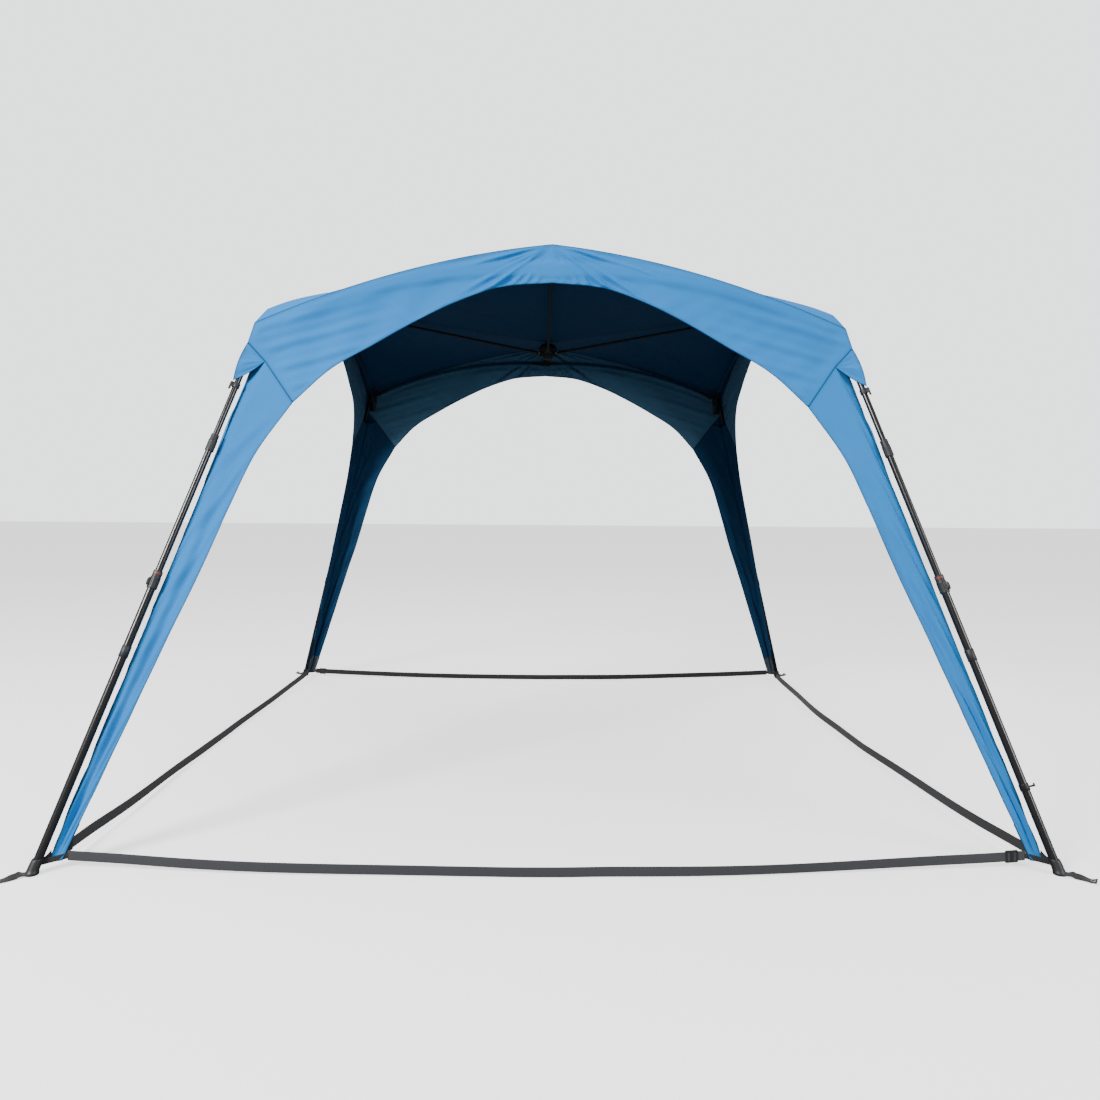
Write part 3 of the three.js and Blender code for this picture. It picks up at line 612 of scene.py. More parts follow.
def panel(side, rng):
    """The leg panel as one tall grid, top to foot; it is split into pieces afterwards."""
    count, columns = round(1.84 / CELL), 20
    t = np.linspace(0, 1, count + 1)
    w = np.linspace(0, 1, columns + 1)
    door = spline(on_face(DOOR_SIDE), count + 1)
    top, foot = corner(PANEL_TOP), corner(PANEL_FOOT)
    outer = top + (foot - top) * t[:, None]
    straight = door[:, None] + (outer - door)[:, None] * w[None, :, None]
    points = straight + stray(UNDER_HOOD, w)[None] * ((1 - t)**3)[:, None, None]
    tt, ww = np.meshgrid(t, w, indexing="ij")
    held = smooth(ww, 0, 0.08) * smooth(1 - ww, 0, 0.12) * smooth(tt, 0, 0.03) * smooth(1 - tt, 0, 0.04)
    # A long pleat beside the doorway that drifts to the outer corner at the foot.
    pleat = 0.26 + 0.42 * smooth(tt, 0.35, 1.0) + 0.03 * wander(rng, tt, 3, 0.6, 2.4)
    folds = -0.011 * crease((ww - pleat), 0.13) * smooth(tt, 0.16, 0.45)
    # Slanting pulls under the hood that fade down the leg.
    pull = tt * 1.84 - ww * 0.62 + 0.05 * wander(rng, ww, 2, 0.5, 1.5)
    strength = 0.0024 + 0.0026 * (side == 2 or side % 2) * (1 - tt)
    folds += strength * np.sin(pull * 2 * math.pi / 0.24 + rng.uniform(0, 6)) * smooth(tt, 0, 0.12)
    folds += 0.0016 * wander(rng, pull, 5, 4.0, 11.0) * smooth(tt, 0.0, 0.2)
    points = push(points, folds * held, (0.2, -0.9, 0.3))
    return hemmed(points)


def panel_patch(points, rows, side, half):
    stitched = ["col0", "col1"]
    stitched += ["row0"] if rows[0] == 0 else []
    stitched += ["row1"] if rows[1] >= len(points) - 1 else []
    return patch_of(points[rows[0]:rows[1] + 1], f"face{side}", stitched, side, half)


def hood(side, half, rng):
    """The corner cover: from the seam and the corner down to its tip outside the pole."""
    tip, high = corner(HOOD_TIP), corner(HOOD_TOP)
    steps = 22
    h = np.linspace(0, 1, steps + 1)
    r = np.linspace(0, 1, steps + 1)
    ridge = high + (tip - high) * h[:, None]
    bulge = 0.009 * np.sin(math.pi * h)
    ridge = ridge + bulge[:, None] * np.array([0.707, -0.707, 0.1])
    points = KNEE_POINT + (ridge - KNEE_POINT)[:, None] * r[None, :, None]
    hh, rr = np.meshgrid(h, r, indexing="ij")
    held = np.sin(math.pi * rr) * smooth(hh, 0, 0.12)
    folds = 0.007 * np.sin(hh * 2 * math.pi * 1.6 + rng.uniform(0, 3)) * rr
    folds += 0.002 * wander(rng, hh, 3, 2.0, 5.0)
    points = push(points, folds * held, (0, -1, 0.1))
    # The lower edge hangs in a shallow curve and stands a little off the panel.
    droop = smooth(hh, 0.55, 1.0) * np.sin(math.pi * rr)
    points = push(points, 0.008 * droop, (0, 0, -1))
    points = push(points, 0.006 * droop, (0, -1, 0))
    return patch_of(points, f"face{side}", ("row0", "row1", "col1"), side, half)


def roof_point(a, b):
    """A point of the front right quarter of the roof: a runs to the right rib's end, b to the front's."""
    a, b = np.asarray(a, float), np.asarray(b, float)
    hub = np.array([0, 0, HUB_TOP])
    front = np.array([0, -APEX_TOP[0], APEX_TOP[1]])
    right = np.array([APEX_TOP[0], 0, APEX_TOP[1]])
    aa, bb = a[..., None], b[..., None]
    right_eave = eave(b)[..., [1, 0, 2]] * np.array([-1, -1, 1])
    sides = (1 - bb) * (hub + (right - hub) * aa) + bb * eave(a)
    sides = sides + (1 - aa) * (hub + (front - hub) * bb) + aa * right_eave
    corners = (1 - aa) * (1 - bb) * hub + aa * (1 - bb) * right + (1 - aa) * bb * front
    points = sides - corners - aa * bb * corner(SHOULDER)
    reach = np.maximum(a, b)
    corner_share = np.minimum(a, b) / np.maximum(reach, 1e-6)
    climb = np.minimum((reach / RIDGE_SHARE) ** 1.6, (1 - reach) / (1 - RIDGE_SHARE))
    points[..., 2] += RIDGE_LIFT * corner_share**6 * climb
    points[..., 2] -= 0.20 * a * (1 - a) * b * (1 - b)
    return points


def roof_triangle(base, side, half):
    """A quarter of a roof quarter, from one of its sides to its middle. Folds follow the whole
    quarter's own places, so they run on across the borders of its four triangles."""
    steps, depth = round(1.16 / CELL), round(0.58 / CELL)
    s = np.linspace(0, 1, steps + 1)[:, None]
    r = np.linspace(0, 1, depth + 1)[None]
    level, into = (s - 0.5) * (1 - r) + 0.5, 0.5 * r
    a, b = (into + 0 * s, level) if base == "rib" else (level, 1 - into + 0 * s)
    points = roof_point(a, b)
    across, ahead = (a, b) if half > 0 else (b, a)
    rng = np.random.default_rng(SEED + 100 + (side if half > 0 else (side - 1) % 4))
    ripples = 0.0035 * wander(rng, across + 0.3 * ahead, 4, 1.0, 4.0)
    ripples += 0.0035 * wander(rng, ahead - 0.2 * across, 4, 1.0, 4.0)
    inner = 16 * a * (1 - a) * b * (1 - b)
    # Pulls that run out from the peaks of both sides and from the hub.
    for one, other in ((across, 1 - ahead), (ahead, 1 - across)):
        angle = np.arctan2(one, np.maximum(other, 1e-4))
        gone = np.hypot(one, other)
        ripples += 0.005 * np.cos(angle * 14 + rng.uniform(0, 6)) * np.exp(-((gone - 0.22) / 0.16) ** 2)
    points[..., 2] += ripples * np.minimum(1, 4 * inner)
    return patch_of(points, "roof", ("col0",), side, half)


def leg_span(points):
    """How far down the leg each point of the right half of the front lies."""
    return (points - LEG_PIN) @ LEG_DOWN


# ---- Canopy pieces ---------------------------------------------------------------------------
# Daylight shows through the single cloth of the valances, so their inside is painted paler than the roof's.
CLOTH_FACES = {"foot_patch": (PATCH_GREY, PATCH_GREY), "valance": (FABRIC_OUT, FABRIC_LIT)}


def foot_patch(points, side, half):
    """The grey reinforcement sewn inside the bottom of a leg panel."""
    down = leg_span(points).mean(1)
    start = int(np.searchsorted(down, down[-1] - 0.135))
    low = points[start:]
    columns = np.arange(low.shape[1])
    rows = np.arange(len(low))[:, None] / (len(low) - 1)
    # Its upper edge slants from the doorway up to the outer seam.
    lift = (1 - rows) * 0.035 * (columns / columns[-1])[None]
    low = low + lift[..., None] * -LEG_DOWN
    low = low + np.array([-0.0012, 0.0022, 0.0])
    return patch_of(low, f"patch{side}{half}", ("col0", "col1", "row0", "row1"), side, half)


def build_canopy():
    plans = []
    clip = 0.27  # how far down the leg its top part ends, just below the hood's clip
    joint_at = sum(leg_at("collar_lower_fr")) / 2
    for side, name in enumerate(SIDES):
        rib_patches = []
        for half, c in ((1, CORNERS[side]), (-1, CORNERS[side - 1])):
            rng = np.random.default_rng(SEED + 10 * side + half)
            parts = {"rod_roof": roof_triangle("rod", side, half), "valance": valance(side, half, rng)}
            points = panel(side, rng)
            down = leg_span(points).mean(1)
            cuts = [0, *np.searchsorted(down, (clip, joint_at)).tolist(), len(points) - 1]
            for part, rows in zip(("top", "upper", "lower"), zip(cuts, cuts[1:])):
                parts[f"panel_{part}"] = panel_patch(points, rows, side, half)
            parts["foot_patch"] = foot_patch(points, side, half)
            parts["hood"] = hood(side, half, rng)
            rib_patches.append(roof_triangle("rib", side, half))
            for kind, patch in parts.items():
                label = "roof" if kind == "rod_roof" else kind
                plans.append((f"{label}_{name}_{c}", [patch], kind, side, half))
        plans.append((f"roof_rib_{name}", rib_patches, "rib_roof", side, 0))
    share_normals([p for plan in plans for p in plan[1]])
    for name, members, kind, side, half in plans:
        # Pieces not listed take the reverse that is painted dark for shade.
        outside, inside = CLOTH_FACES.get(kind, (FABRIC_OUT, FABRIC_IN_SHADED))
        piece = cloth_piece(name, members, outside, inside)
        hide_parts("canopy")
        attach_cloth(piece, kind, side, half)


def leg_at(node):
    """How far down the front right leg a node starts and ends."""
    low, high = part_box(node)
    middle = leg_span((np.array(low) + np.array(high)) / 2)
    half = (high[2] - low[2]) / 2 / -LEG_DOWN[2]
    return middle - half, middle + half


def attach_cloth(piece, kind, side, half):
    name = SIDES[side]
    index = side if half >= 0 else (side - 1) % 4
    c = CORNERS[index]
    if kind == "rib_roof":
        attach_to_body(piece, f"rib_{name}")
        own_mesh(piece)
    elif kind == "rod_roof":
        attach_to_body(piece, f"rod_{name}_{c}")
        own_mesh(piece)
    elif kind == "valance":
        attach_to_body(piece, f"rod_{name}_{c}")
        ends = eave([0.0, 1.0]) * np.array([half, 1, 1])
        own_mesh(piece)
    elif kind == "foot_patch":
        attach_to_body(piece, f"leg_lower_{c}")
    elif kind in ("panel_top", "hood"):
        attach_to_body(piece, f"leg_upper_{c}")
    elif kind == "panel_upper":
        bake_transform(piece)
    elif kind == "panel_lower":
        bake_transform(piece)


build_canopy()


def attach(obj, body, mat, *nodes):
    """Puts a piece on its body and hides the CAD nodes that it stands for. mat is not used."""
    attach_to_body(obj, body)
    if nodes:
        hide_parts(*nodes)
    return obj


def solid(name, verts, faces, mat, body, sharp, *nodes):
    """A closed piece with its doubled points joined. sharp is the angle, in degrees, of a hard edge."""
    obj = mesh_object(name, verts, faces, [mat], sharp)
    b = bmesh.new()
    b.from_mesh(obj.data)
    bmesh.ops.remove_doubles(b, verts=b.verts, dist=1e-7)
    bmesh.ops.recalc_face_normals(b, faces=b.faces)
    b.to_mesh(obj.data)
    b.free()
    return attach(obj, body, mat, *nodes)


def capped(rows, columns, flip=False):
    """The faces of a bar of rings: its sides and a cap at each end."""
    faces = [tuple(f) for f in grid_faces(rows, columns, 0, flip, True)]
    return faces + [tuple(range(columns)), tuple(range((rows - 1) * columns, rows * columns))]


def circle(sides, across, other):
    """Points of a unit circle in the plane of two directions, one row for each side."""
    angle = np.linspace(0, 2 * math.pi, sides, endpoint=False)[:, None]
    return np.cos(angle) * across + np.sin(angle) * other


def revolve(name, profile, origin, axis, body, mat, *nodes, sides=48, shape=None):
    """A turned piece: profile is a closed loop of (radius, distance along the axis). shape, if given,
    changes the radius from (radius, distance, angle)."""
    axis = unit(axis)
    across = unit(np.cross(axis, (0.0, 0.0, 1.0) if abs(axis[2]) < 0.9 else (1.0, 0.0, 0.0)))
    ring = circle(sides, across, np.cross(axis, across))
    angle = np.linspace(0, 2 * math.pi, sides, endpoint=False)
    verts = []
    for radius, distance in profile:
        r = np.full(sides, radius) if shape is None else shape(radius, distance, angle)
        verts.append(np.asarray(origin) + axis * distance + ring * r[:, None])
    faces = grid_faces(len(profile), sides, 0, True, True)
    if profile[0][0] > 0 and profile[-1][0] > 0:
        i = np.arange(sides)
        j = (i + 1) % sides
        last = (len(profile) - 1) * sides
        faces = np.concatenate([faces, np.stack([i, j, last + j, last + i], -1)])
    return solid(name, np.concatenate(verts), faces, mat, body, 40, *nodes)


def softened(node, body, mat, width, segments=2):
    """A CAD piece with its edges rounded, standing for the CAD node."""
    b = bmesh.new()
    b.from_mesh(frame["nodes"][node].data)
    bmesh.ops.remove_doubles(b, verts=b.verts, dist=2e-6)
    bmesh.ops.dissolve_limit(b, angle_limit=math.radians(1.0), verts=b.verts, edges=b.edges)
    mesh = bpy.data.meshes.new(f"{node}_soft")
    b.to_mesh(mesh)
    b.free()
    mesh.materials.clear()
    mesh.materials.append(mat)
    mesh.shade_smooth()
    mesh.set_sharp_from_angle(angle=math.radians(44))
    obj = bpy.data.objects.new(f"{node}_soft", mesh)
    bpy.context.scene.collection.objects.link(obj)
    bevel = obj.modifiers.new("edges", "BEVEL")
    bevel.width, bevel.segments, bevel.limit_method = width, segments, "ANGLE"
    bevel.angle_limit = math.radians(22)
    attach(obj, body, mat, node)


def tube_profile(outer, inner, start, end, lip=0.0006):
    return [(inner, start + lip), (inner + lip, start), (outer - lip, start), (outer, start + lip),
            (outer, end - lip), (outer - lip, end), (inner + lip, end), (inner, end - lip)]


TUBES = {"upper": (0.0110, 0.0098), "middle": (0.0126, 0.0116), "lower": (0.0144, 0.0132)}
TUBE_SPAN = {"upper": (0.018, 0.640), "middle": (0.478, 1.170), "lower": (1.036, 2.098)}
COLLARS = {"upper": ("middle", "upper"), "lower": ("lower", "middle")}
COLLAR_LENGTH, COLLAR_WALL, COLLAR_LIP, COLLAR_GAP = 0.070, 0.0032, 0.006, 0.0006
COLLAR_GRIP = 0.042
BAND_SPAN, BAND_WALL = (1.318, 1.362), 0.002


def build_legs():
    for k, c in enumerate(CORNERS):
        origin, down = turned(LEG_PIN, k), turned(LEG_DOWN, k)
        for part, (outer, inner) in TUBES.items():
            start, end = TUBE_SPAN[part]
            body = f"leg_{part}_{c}"
            profile = tube_profile(outer, inner, start, end)
            revolve(f"tube_{part}_{c}", profile, origin, down, body, TUBE, body)
        for which, (own, through) in COLLARS.items():
            build_collar(which, own, through, origin, down, c, k)
        inner, outer = TUBES["lower"][0] - 0.0002, TUBES["lower"][0] + BAND_WALL
        start, end = BAND_SPAN
        sleeve = [(inner, start), (outer - 0.0008, start), (outer, start + 0.001), (outer, end - 0.001),
                  (outer - 0.0008, end), (inner, end)]
        revolve(f"tube_band_{c}", sleeve, origin, down, f"leg_lower_{c}", PLASTIC)
        leg_top(k, c, origin, down)


def build_collar(which, own, through, origin, down, c, k):
    """A slim twist collar: a fluted grip, a plain throat, and on the lower one a red ring and a lever."""
    top = TUBE_SPAN[own][0] - COLLAR_LIP
    low = top + COLLAR_LENGTH
    grip = low - COLLAR_GRIP
    bore, throat = TUBES[own][0] + COLLAR_GAP, TUBES[through][0] + COLLAR_GAP
    outer = bore + COLLAR_WALL
    slim = outer - COLLAR_WALL / 2
    profile = [(bore, top + 0.005), (throat, top + 0.005), (throat, top), (slim - 0.0012, top),
               (slim, top + 0.0014), (slim, grip - 0.006), (outer - 0.0003, grip - 0.001)]
    profile += [(outer, grip + 0.001 + 0.0025 * i) for i in range(16)]
    profile += [(outer - 0.0008, low - 0.0005), (outer - 0.0016, low), (bore, low)]

    def fluted(radius, distance, angle):
        deep = smooth(distance, grip + 0.002, grip + 0.006)
        deep = deep * (1 - smooth(distance, low - 0.010, low - 0.004))
        if radius < outer - 0.0002:
            deep = 0
        return radius - 0.0009 * deep * smooth(np.cos(12 * angle), 0.1, 0.9)

    body = f"collar_{which}_{c}"
    revolve(f"grip_{which}_{c}", profile, origin, down, body, PLASTIC, body, sides=96, shape=fluted)
    if which == "lower":
        ring = [(slim - 0.0004, top + 0.006), (slim + 0.0005, top + 0.006), (slim + 0.0007, top + 0.0075),
                (slim + 0.0007, top + 0.0125), (slim + 0.0005, top + 0.014), (slim - 0.0004, top + 0.014)]
        revolve(f"collar_ring_{c}", ring, origin, down, body, RING_RED)
        lever(c, k, grip + 0.004, outer)


def lever(c, k, at, radius):
    """The collar's small thumb lever, on the side away from the canopy."""
    out = turned(unit(LEG_OUT - LEG_DOWN * (LEG_OUT @ LEG_DOWN)), k)
    down = turned(LEG_DOWN, k)
    across = np.cross(out, down)
    base = turned(LEG_PIN, k) + down * at + out * (radius - 0.002)
    outline = [(0.0, 0.0), (0.0045, -0.001), (0.0085, 0.004), (0.0095, 0.014), (0.0080, 0.026),
               (0.0050, 0.030), (0.0030, 0.024), (0.0, 0.022)]
    verts = []
    for offset, pinch in ((-0.0055, 0.9), (-0.0048, 1.0), (0.0048, 1.0), (0.0055, 0.9)):
        middle = np.array([0.004, 0.014])
        for o, d in outline:
            o, d = middle + (np.array([o, d]) - middle) * pinch
            verts.append(base + out * o + down * d + across * offset)
    solid(f"collar_lever_{c}", verts, capped(4, len(outline)), PLASTIC, f"collar_lower_{c}", 35)


def leg_top(k, c, origin, down):
    """The flattened eye at the head of the upper tube, and the pin's two heads in the knuckle."""
    across = turned(unit(np.cross(LEG_DOWN, LEG_OUT)), k)
    eye = [(0.0049, -0.007), (0.0103, -0.007), (0.011, -0.0063), (0.011, 0.0063), (0.0103, 0.007),
           (0.0049, 0.007)]
    revolve(f"leg_eye_{c}", eye, origin, across, f"leg_upper_{c}", PLASTIC)
    plug = [(0, 0.006), (0.0066, 0.006), (0.0070, 0.0165), (0.0104, 0.0225), (0.0110, 0.025),
            (0.0112, 0.046), (0.0, 0.046)]
    revolve(f"leg_plug_{c}", plug, origin, down, f"leg_upper_{c}", PLASTIC)
    for way in (-1, 1):
        pin_head(f"knuckle_pin_{c}_{'ab'[way > 0]}", origin + across * way * 0.0113, across * way,
                 0.0062, f"knuckle_{c}")


def pin_head(name, at, outward, radius, body):
    profile = [(0, 0.0), (radius, 0.0), (radius, 0.0006), (radius * 0.86, 0.0015), (radius * 0.5, 0.0021),
               (0, 0.0022)]
    revolve(name, profile, at, outward, body, PIN, sides=28)


def swept(name, path, radius, body, mat, *nodes):
    """A round bar along a path, closed at both ends."""
    sides = 20
    ahead = np.gradient(path, axis=0)
    ahead /= np.linalg.norm(ahead, axis=1, keepdims=True)
    side_way = np.cross(ahead, (0, 0, 1.0))
    side_way /= np.linalg.norm(side_way, axis=1, keepdims=True)
    over = np.cross(side_way, ahead)
    ring = circle(sides, side_way[:, None], over[:, None])
    radii = np.broadcast_to(radius, (len(path),))
    verts = (path[:, None] + ring * radii[:, None, None]).reshape(-1, 3)
    return solid(name, verts, capped(len(path), sides), mat, body, 45, *nodes)


ROD_R, RIB_R, EYE_R, EYE_HALF, PIN_R = 0.0065, 0.0069, 0.009, 0.007, 0.0044


def rod_eye(name, at, across, body):
    ring = [(PIN_R, -EYE_HALF), (EYE_R - 0.0007, -EYE_HALF), (EYE_R, -EYE_HALF + 0.0007),
            (EYE_R, EYE_HALF - 0.0007), (EYE_R - 0.0007, EYE_HALF), (PIN_R, EYE_HALF)]
    revolve(name, ring, at, across, body, PLASTIC, sides=40)


def ferrule(name, at, way, radius, body):
    """The plastic socket that grips the end of a rod."""
    profile = [(0, 0.0065), (radius - 0.0012, 0.0068), (radius + 0.0014, 0.014), (radius + 0.0022, 0.018),
               (radius + 0.0022, 0.052), (radius + 0.0012, 0.056), (radius + 0.0004, 0.0565), (0, 0.0565)]
    revolve(name, profile, at, way, body, PLASTIC, sides=32)


def rod_sleeve(name, path, body):
    """The loose cloth sleeve that an edge rod runs through."""
    rng = np.random.default_rng(SEED + len(name) + sum(map(ord, name)))
    path = resample(path, 180)
    t = np.linspace(0, 1, len(path))
    radius = 0.0086 + 0.0007 * wander(rng, t, 5, 8.0, 30.0)
    radius[[0, -1]] = 0.0080
    sleeve = swept(name, path, radius, body, SLEEVE_CLOTH_SHADED)
    sleeve.data.uv_layers.new(name="cloth")
    count = len(sleeve.data.vertices)
    sleeve.data.attributes.new("edge", "FLOAT", "POINT").data.foreach_set("value", np.ones(count))


def build_roof_frame():
    for side, name in enumerate(SIDES):
        line = HUB_PIN + (APEX_PIN - HUB_PIN) * np.linspace(0.008, 0.992, 24)[:, None]
        body = f"rib_{name}"
        swept(f"rib_tube_{name}", turned(line, side), RIB_R, body, ROD, body)
        outward = unit(APEX_PIN - HUB_PIN)
        for i, (at, way) in enumerate(((HUB_PIN, outward), (APEX_PIN, -outward))):
            rod_eye(f"rib_eye_{name}_{i}", turned(at, side), turned([1, 0, 0], side), body)
            ferrule(f"rib_socket_{name}_{i}", turned(at, side), turned(way, side), RIB_R, body)
        for half in (1, -1):
            c = CORNERS[side if half > 0 else side - 1]
            flip = np.array([half, 1, 1])
            start, end = ROD_PIN * flip, KNUCKLE_PIN * flip
            pitch = math.atan2(start[2] - end[2], abs(end[0] - start[0]))
            lift = np.array([half * math.sin(pitch), 0, math.cos(pitch)])
            t = np.linspace(0, 1, 49)[:, None]
            arch = start + (end - start) * t + lift * 4 * ROD_RISE * t * (1 - t)
            body = f"rod_{name}_{c}"
            swept(f"edge_bar_{name}_{c}", turned(arch, side), ROD_R, body, ROD, f"edge_rod_{name}_{c}")
            rod_sleeve(f"rod_sleeve_{name}_{c}", turned(arch[3:-3], side), body)
            for i, (at, way) in enumerate(((start, arch[3] - arch[0]), (end, arch[-4] - arch[-1]))):
                rod_eye(f"rod_eye_{name}_{c}_{i}", turned(at, side), turned([0, 1, 0], side), body)
                ferrule(f"rod_socket_{name}_{c}_{i}", turned(at, side), turned(unit(way), side), ROD_R, body)


def build_joints():
    softened("hub_body", "hub", PLASTIC, 0.001)
    cap_low, cap_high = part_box("hub_cap")
    radius = (cap_high[0] - cap_low[0]) / 2
    base, rise = cap_low[2], cap_high[2] - cap_low[2]
    dome = [(0, base), (radius - 0.002, base), (radius - 0.0005, base + 0.002), (radius, base + 0.005),
            (radius, base + 0.014)]
    for turn in range(8, 90, 8):
        a = math.radians(turn)
        dome.append((radius * math.cos(a), base + 0.014 + (rise - 0.014) * math.sin(a)))
    dome.append((0, base + rise))
    revolve("hub_dome", dome, (0, 0, 0), (0, 0, 1), "hub", PLASTIC, "hub_cap", sides=64)
    for side, name in enumerate(SIDES):
        softened(f"apex_joint_{name}", f"apex_{name}", PLASTIC, 0.0011)
        for way in (-1, 1):
            for end, pin, body in (("hub", HUB_PIN, "hub"), ("apex", APEX_PIN, f"apex_{name}")):
                at = turned(pin + np.array([way * 0.0125, 0, 0]), side)
                pin_head(f"{end}_pin_{name}_{'ab'[way > 0]}", at, turned([way, 0, 0], side), 0.0052, body)
    for c in CORNERS:
        softened(f"knuckle_{c}", f"knuckle_{c}", PLASTIC, 0.0012)
        softened(f"hood_clip_{c}", f"leg_upper_{c}", PLASTIC, 0.0008)
    softened("side_hook_fr", "leg_lower_fr", TUBE, 0.0006)


build_legs()
build_roof_frame()
build_joints()


# ---- Feet, straps and buckles ----------------------------------------------------------------
def ribbon(name, path, across, width, thickness, body, mat=WEBBING_BLACK):
    """Flat webbing along a path. across gives its width's direction at each point."""
    across = np.broadcast_to(np.asarray(across, float), path.shape)
    ahead = np.gradient(path, axis=0)
    ahead /= np.linalg.norm(ahead, axis=1, keepdims=True)
    face = np.cross(ahead, across)
    face /= np.linalg.norm(face, axis=1, keepdims=True)
    lines = np.linspace(-1, 1, 7)
    rounding = np.sqrt(np.clip(1 - np.abs(lines) ** 6, 0.1, 1))
    top = path[:, None] + across[:, None] * (lines * width / 2)[None, :, None]
    thick = face[:, None] * (rounding * thickness / 2)[None, :, None]
    verts = np.concatenate([(top + thick), (top - thick)[:, ::-1]], 1)
    count = verts.shape[1]
    flat = verts.reshape(-1, 3)
    obj = solid(name, flat, capped(len(path), count), mat, body, 60)
    run = np.concatenate([[0], np.cumsum(np.linalg.norm(np.diff(path, axis=0), axis=1))])
    layer = obj.data.uv_layers.new(name="cloth")
    u = np.repeat(run, count)
    v = np.tile(np.concatenate([lines, lines[::-1]]) * width / 2, len(path))
    loops = np.zeros(len(obj.data.loops), np.int32)
    obj.data.loops.foreach_get("vertex_index", loops)
    if len(obj.data.vertices) == len(flat):
        layer.data.foreach_set("uv", np.stack([u[loops], v[loops]], -1).astype(np.float32).ravel())
    return obj


STRAP_HALF, STRAP_INSET, STRAP_WIDTH = 1.656, 1.700, 0.034
STRAP_BOW = (0.075, -0.048, -0.070, 0.028)
STRAP_ENDS, STRAP_MIDDLE = 0.046, 0.018
STRAP_LEAN = (0.05, -0.32, 0.0, -0.32)  # how far each strap's upper edge leans inwards


def build_straps():
    for side, name in enumerate(SIDES):
        for way in (1, -1):
            k = side if way > 0 else (side - 1) % 4
            c = CORNERS[k]
            rng = np.random.default_rng(SEED + 300 + side * 2 + way)
            t = np.linspace(0, 1, 96)
            x = way * STRAP_HALF * t
            z = STRAP_MIDDLE + (STRAP_ENDS - STRAP_MIDDLE) * t**2
            y = -STRAP_INSET - STRAP_BOW[side] * (1 - t**2)
            free = smooth(1 - t, 0, 0.2) * smooth(t, 0, 0.15)
            sway = 0.005 * wander(rng, t, 3, 0.5, 2.0) * free
            lean = STRAP_LEAN[side] * (1 - 0.6 * smooth(t, 0.85, 1))
            lean = lean + 0.10 * wander(rng, t, 3, 0.4, 1.6) * free
            path = np.stack([x, y + sway, z], -1)
            across = np.stack([0 * t, np.sin(lean), np.cos(lean)], -1)
            strap = ribbon(f"strap_{name}_{c}", turned(path, side), turned(across, side), STRAP_WIDTH,
                           0.0022, f"leg_lower_{c}", WEBBING if side == 0 else WEBBING_BLACK)
            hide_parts(f"ground_strap_{name}")
            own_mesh(strap)


def build_feet():
    for k, c in enumerate(CORNERS):
        softened(f"strap_buckle_{c}", f"leg_lower_{c}", PLASTIC, 0.0012, segments=3)
        base = turned(np.array([*(LEG_PIN + LEG_DOWN * LEG_LENGTH)[:2], 0]), k)
        foot_cap(k, c, base)
        peg_tab(k, c, base)
        corner_strap(k, c, base)


def corner_strap(k, c, base):
    """The short webbing that ties the panels' bottom corner and the ground straps to the foot."""
    out = turned(LEG_OUT, k)
    sheet = turned(corner(PANEL_FOOT), k)
    sheet = sheet + np.array([0, 0, 0.030]) - out * 0.012
    neck = base + np.array([0, 0, 0.034]) - out * 0.026
    t = np.linspace(0, 1, 12)[:, None]
    path = sheet + (neck - sheet) * t - np.array([0, 0, 0.004]) * np.sin(math.pi * t)
    ribbon(f"corner_strap_{c}", path, (0, 0, 1.0), 0.022, 0.002, f"leg_lower_{c}")
    for side in (k, (k + 1) % 4):
        way = 1 if side == k else -1
        end = turned(np.array([way * STRAP_HALF, -STRAP_INSET, STRAP_ENDS]), side)
        start = end - turned([way * 0.004, 0, 0], side)
        path = start + (neck - start) * t
        ribbon(f"strap_end_{SIDES[side]}_{c}", path, (0, 0, 1.0), 0.020, 0.002, f"leg_lower_{c}")


SOCKET_LEVELS = (0.0498, 0.040)  # the rim and the floor of the foot's socket


def foot_cap(k, c, base):
    """The plastic foot: rings that lean from the round sole up to the tube's socket."""
    levels = [(0, 0.0206), (0.0008, 0.0216), (0.003, 0.022), (0.0085, 0.022), (0.0102, 0.0214),
              (0.012, 0.0204), (0.020, 0.0196), (0.032, 0.0188), (0.042, 0.0182), (0.047, 0.0178),
              (0.0495, 0.0172), (0.0502, 0.0164)]
    lean = math.tan(TILT)
    out = turned(LEG_OUT, k)
    side_way = np.cross([0, 0, 1.0], out)
    sides = 48
    verts = []
    for z, r in levels:
        middle = base - out * lean * max(0, z - 0.006) + np.array([0, 0, z])
        stretch = 1 + 0.06 * smooth(z, 0.01, 0.03)
        verts.append(middle + circle(sides, out * r * stretch, side_way * r))
    for z in SOCKET_LEVELS:
        middle = base - out * lean * z + np.array([0, 0, z])
        verts.append(middle + circle(sides, out * 0.0156, side_way * 0.0146))
    solid(f"foot_cap_{c}", np.concatenate(verts), capped(len(verts), sides, True), PLASTIC,
          f"leg_lower_{c}", 50, f"foot_{c}")


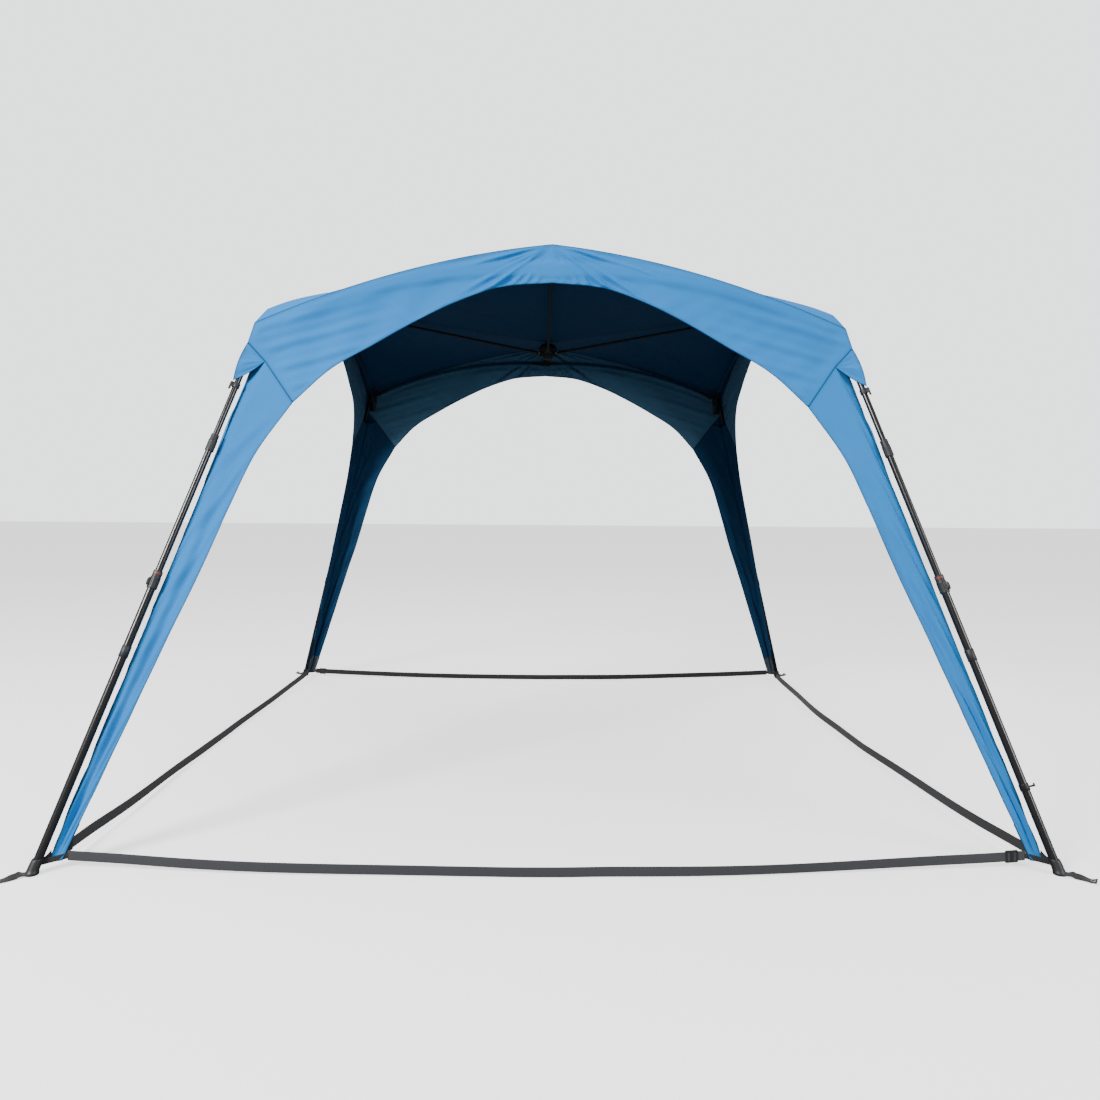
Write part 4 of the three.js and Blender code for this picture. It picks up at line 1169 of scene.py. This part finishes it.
def peg_tab(k, c, base):
    """Twisted webbing from under the foot, lying outwards on the ground, with a pressed eyelet."""
    rng = np.random.default_rng(SEED + 500 + k)
    out = turned(LEG_OUT, k)
    side_way = np.cross([0, 0, 1.0], out)
    t = np.linspace(0, 1, 48)
    reach = 0.014 + 0.098 * t
    rise = 0.0075 + 0.007 * np.sin(2 * math.pi * t * 1.1 + 0.4) * smooth(t, 0.05, 0.3) - 0.003 * t
    drift = 0.005 * wander(rng, t, 2, 0.4, 1.2) * t
    path = base + out * reach[:, None] + side_way * drift[:, None] + np.array([0, 0, 1.0]) * rise[:, None]
    twist = (0.22 + 0.42 * np.sin(math.pi * t * 1.3) ** 2) * (1 if k < 2 else -1)
    across = np.cos(twist)[:, None] * side_way + np.sin(twist)[:, None] * np.array([0, 0, 1.0])
    path[:, 2] = np.maximum(path[:, 2], 0.0125 * np.abs(np.sin(twist)) * 0.9 + 0.002)
    piece = ribbon(f"peg_tab_{c}", path, across, 0.0245, 0.0028, f"leg_lower_{c}")
    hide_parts(f"foot_{c}")
    ring = [(0.0052, -0.0024), (0.0096, -0.0024), (0.0100, -0.0015), (0.0090, 0.0020), (0.0074, 0.0028),
            (0.0056, 0.0020)]
    normal = unit(np.cross(path[-5] - path[-9], across[-7]))
    up = normal * np.sign(normal[2])
    revolve(f"peg_eyelet_{c}", ring, path[-7], up, f"leg_lower_{c}", PIN, sides=36)


build_straps()
build_feet()


# ---- Stage -----------------------------------------------------------------------------------
def build_stage():
    pale = material("floor_pale", (0.86, 0.86, 0.86), 0.9)
    rays = add(pale, "ShaderNodeLightPath").outputs["Is Camera Ray"]
    tone = blend_colors(pale, rays, (0.11, 0.12, 0.13), (0.86, 0.86, 0.86))
    shader = pale.node_tree.nodes["Principled BSDF"]
    link(pale, tone, shader.inputs["Base Color"])
    shader.inputs["Emission Color"].default_value = (1, 1, 1, 1)
    link(pale, maths(pale, "MULTIPLY", rays, 1.25), shader.inputs["Emission Strength"])
    floor = mesh_object("floor", [(-60, -60, 0), (60, -60, 0), (60, 60, 0), (-60, 60, 0)], [(0, 1, 2, 3)],
                        [pale])
    floor.location.z = -0.001
    world = bpy.data.worlds.new("studio")
    bpy.context.scene.world = world
    world.use_nodes = True
    sky = world.node_tree.nodes["Background"]
    sky.inputs["Color"].default_value = (0.95, 0.97, 1.0, 1)
    seen = add(world, "ShaderNodeLightPath").outputs["Is Camera Ray"]
    link(world, maths(world, "MULTIPLY_ADD", seen, 1.9), sky.inputs["Strength"])
    sky.inputs["Strength"].links[0].from_node.inputs[2].default_value = 0.42

    def area(name, at, target, size, power, color=(1, 1, 1)):
        lamp = bpy.data.lights.new(name, "AREA")
        lamp.size, lamp.energy, lamp.color = size, power, color
        obj = bpy.data.objects.new(name, lamp)
        obj.location = at
        way = Vector(target) - Vector(at)
        obj.rotation_euler = way.to_track_quat("-Z", "Y").to_euler()
        bpy.context.scene.collection.objects.link(obj)

    area("key", (-5.5, -7.0, 5.0), (0, 0, 1.2), 2.6, 1200)
    area("fill", (6.5, -6.0, 3.4), (0, 0, 1.0), 3.5, 420)
    area("top", (0, 0.5, 8.0), (0, 0, 0), 6.0, 330)


def build_camera():
    camera = bpy.data.cameras.new("camera")
    camera.sensor_width, camera.lens = 36.0, 28.54
    obj = bpy.data.objects.new("camera", camera)
    obj.location = (-0.0638, -4.6621, 1.2453)
    yaw, pitch, roll = math.radians(1.02), math.radians(-2.74), math.radians(0.415)
    way = Vector((math.sin(yaw) * math.cos(pitch), math.cos(yaw) * math.cos(pitch), math.sin(pitch)))
    obj.rotation_mode = "QUATERNION"
    obj.rotation_quaternion = way.to_track_quat("-Z", "Y") @ Quaternion((0, 0, 1), roll)
    bpy.context.scene.collection.objects.link(obj)
    bpy.context.scene.camera = obj


build_stage()
build_camera()
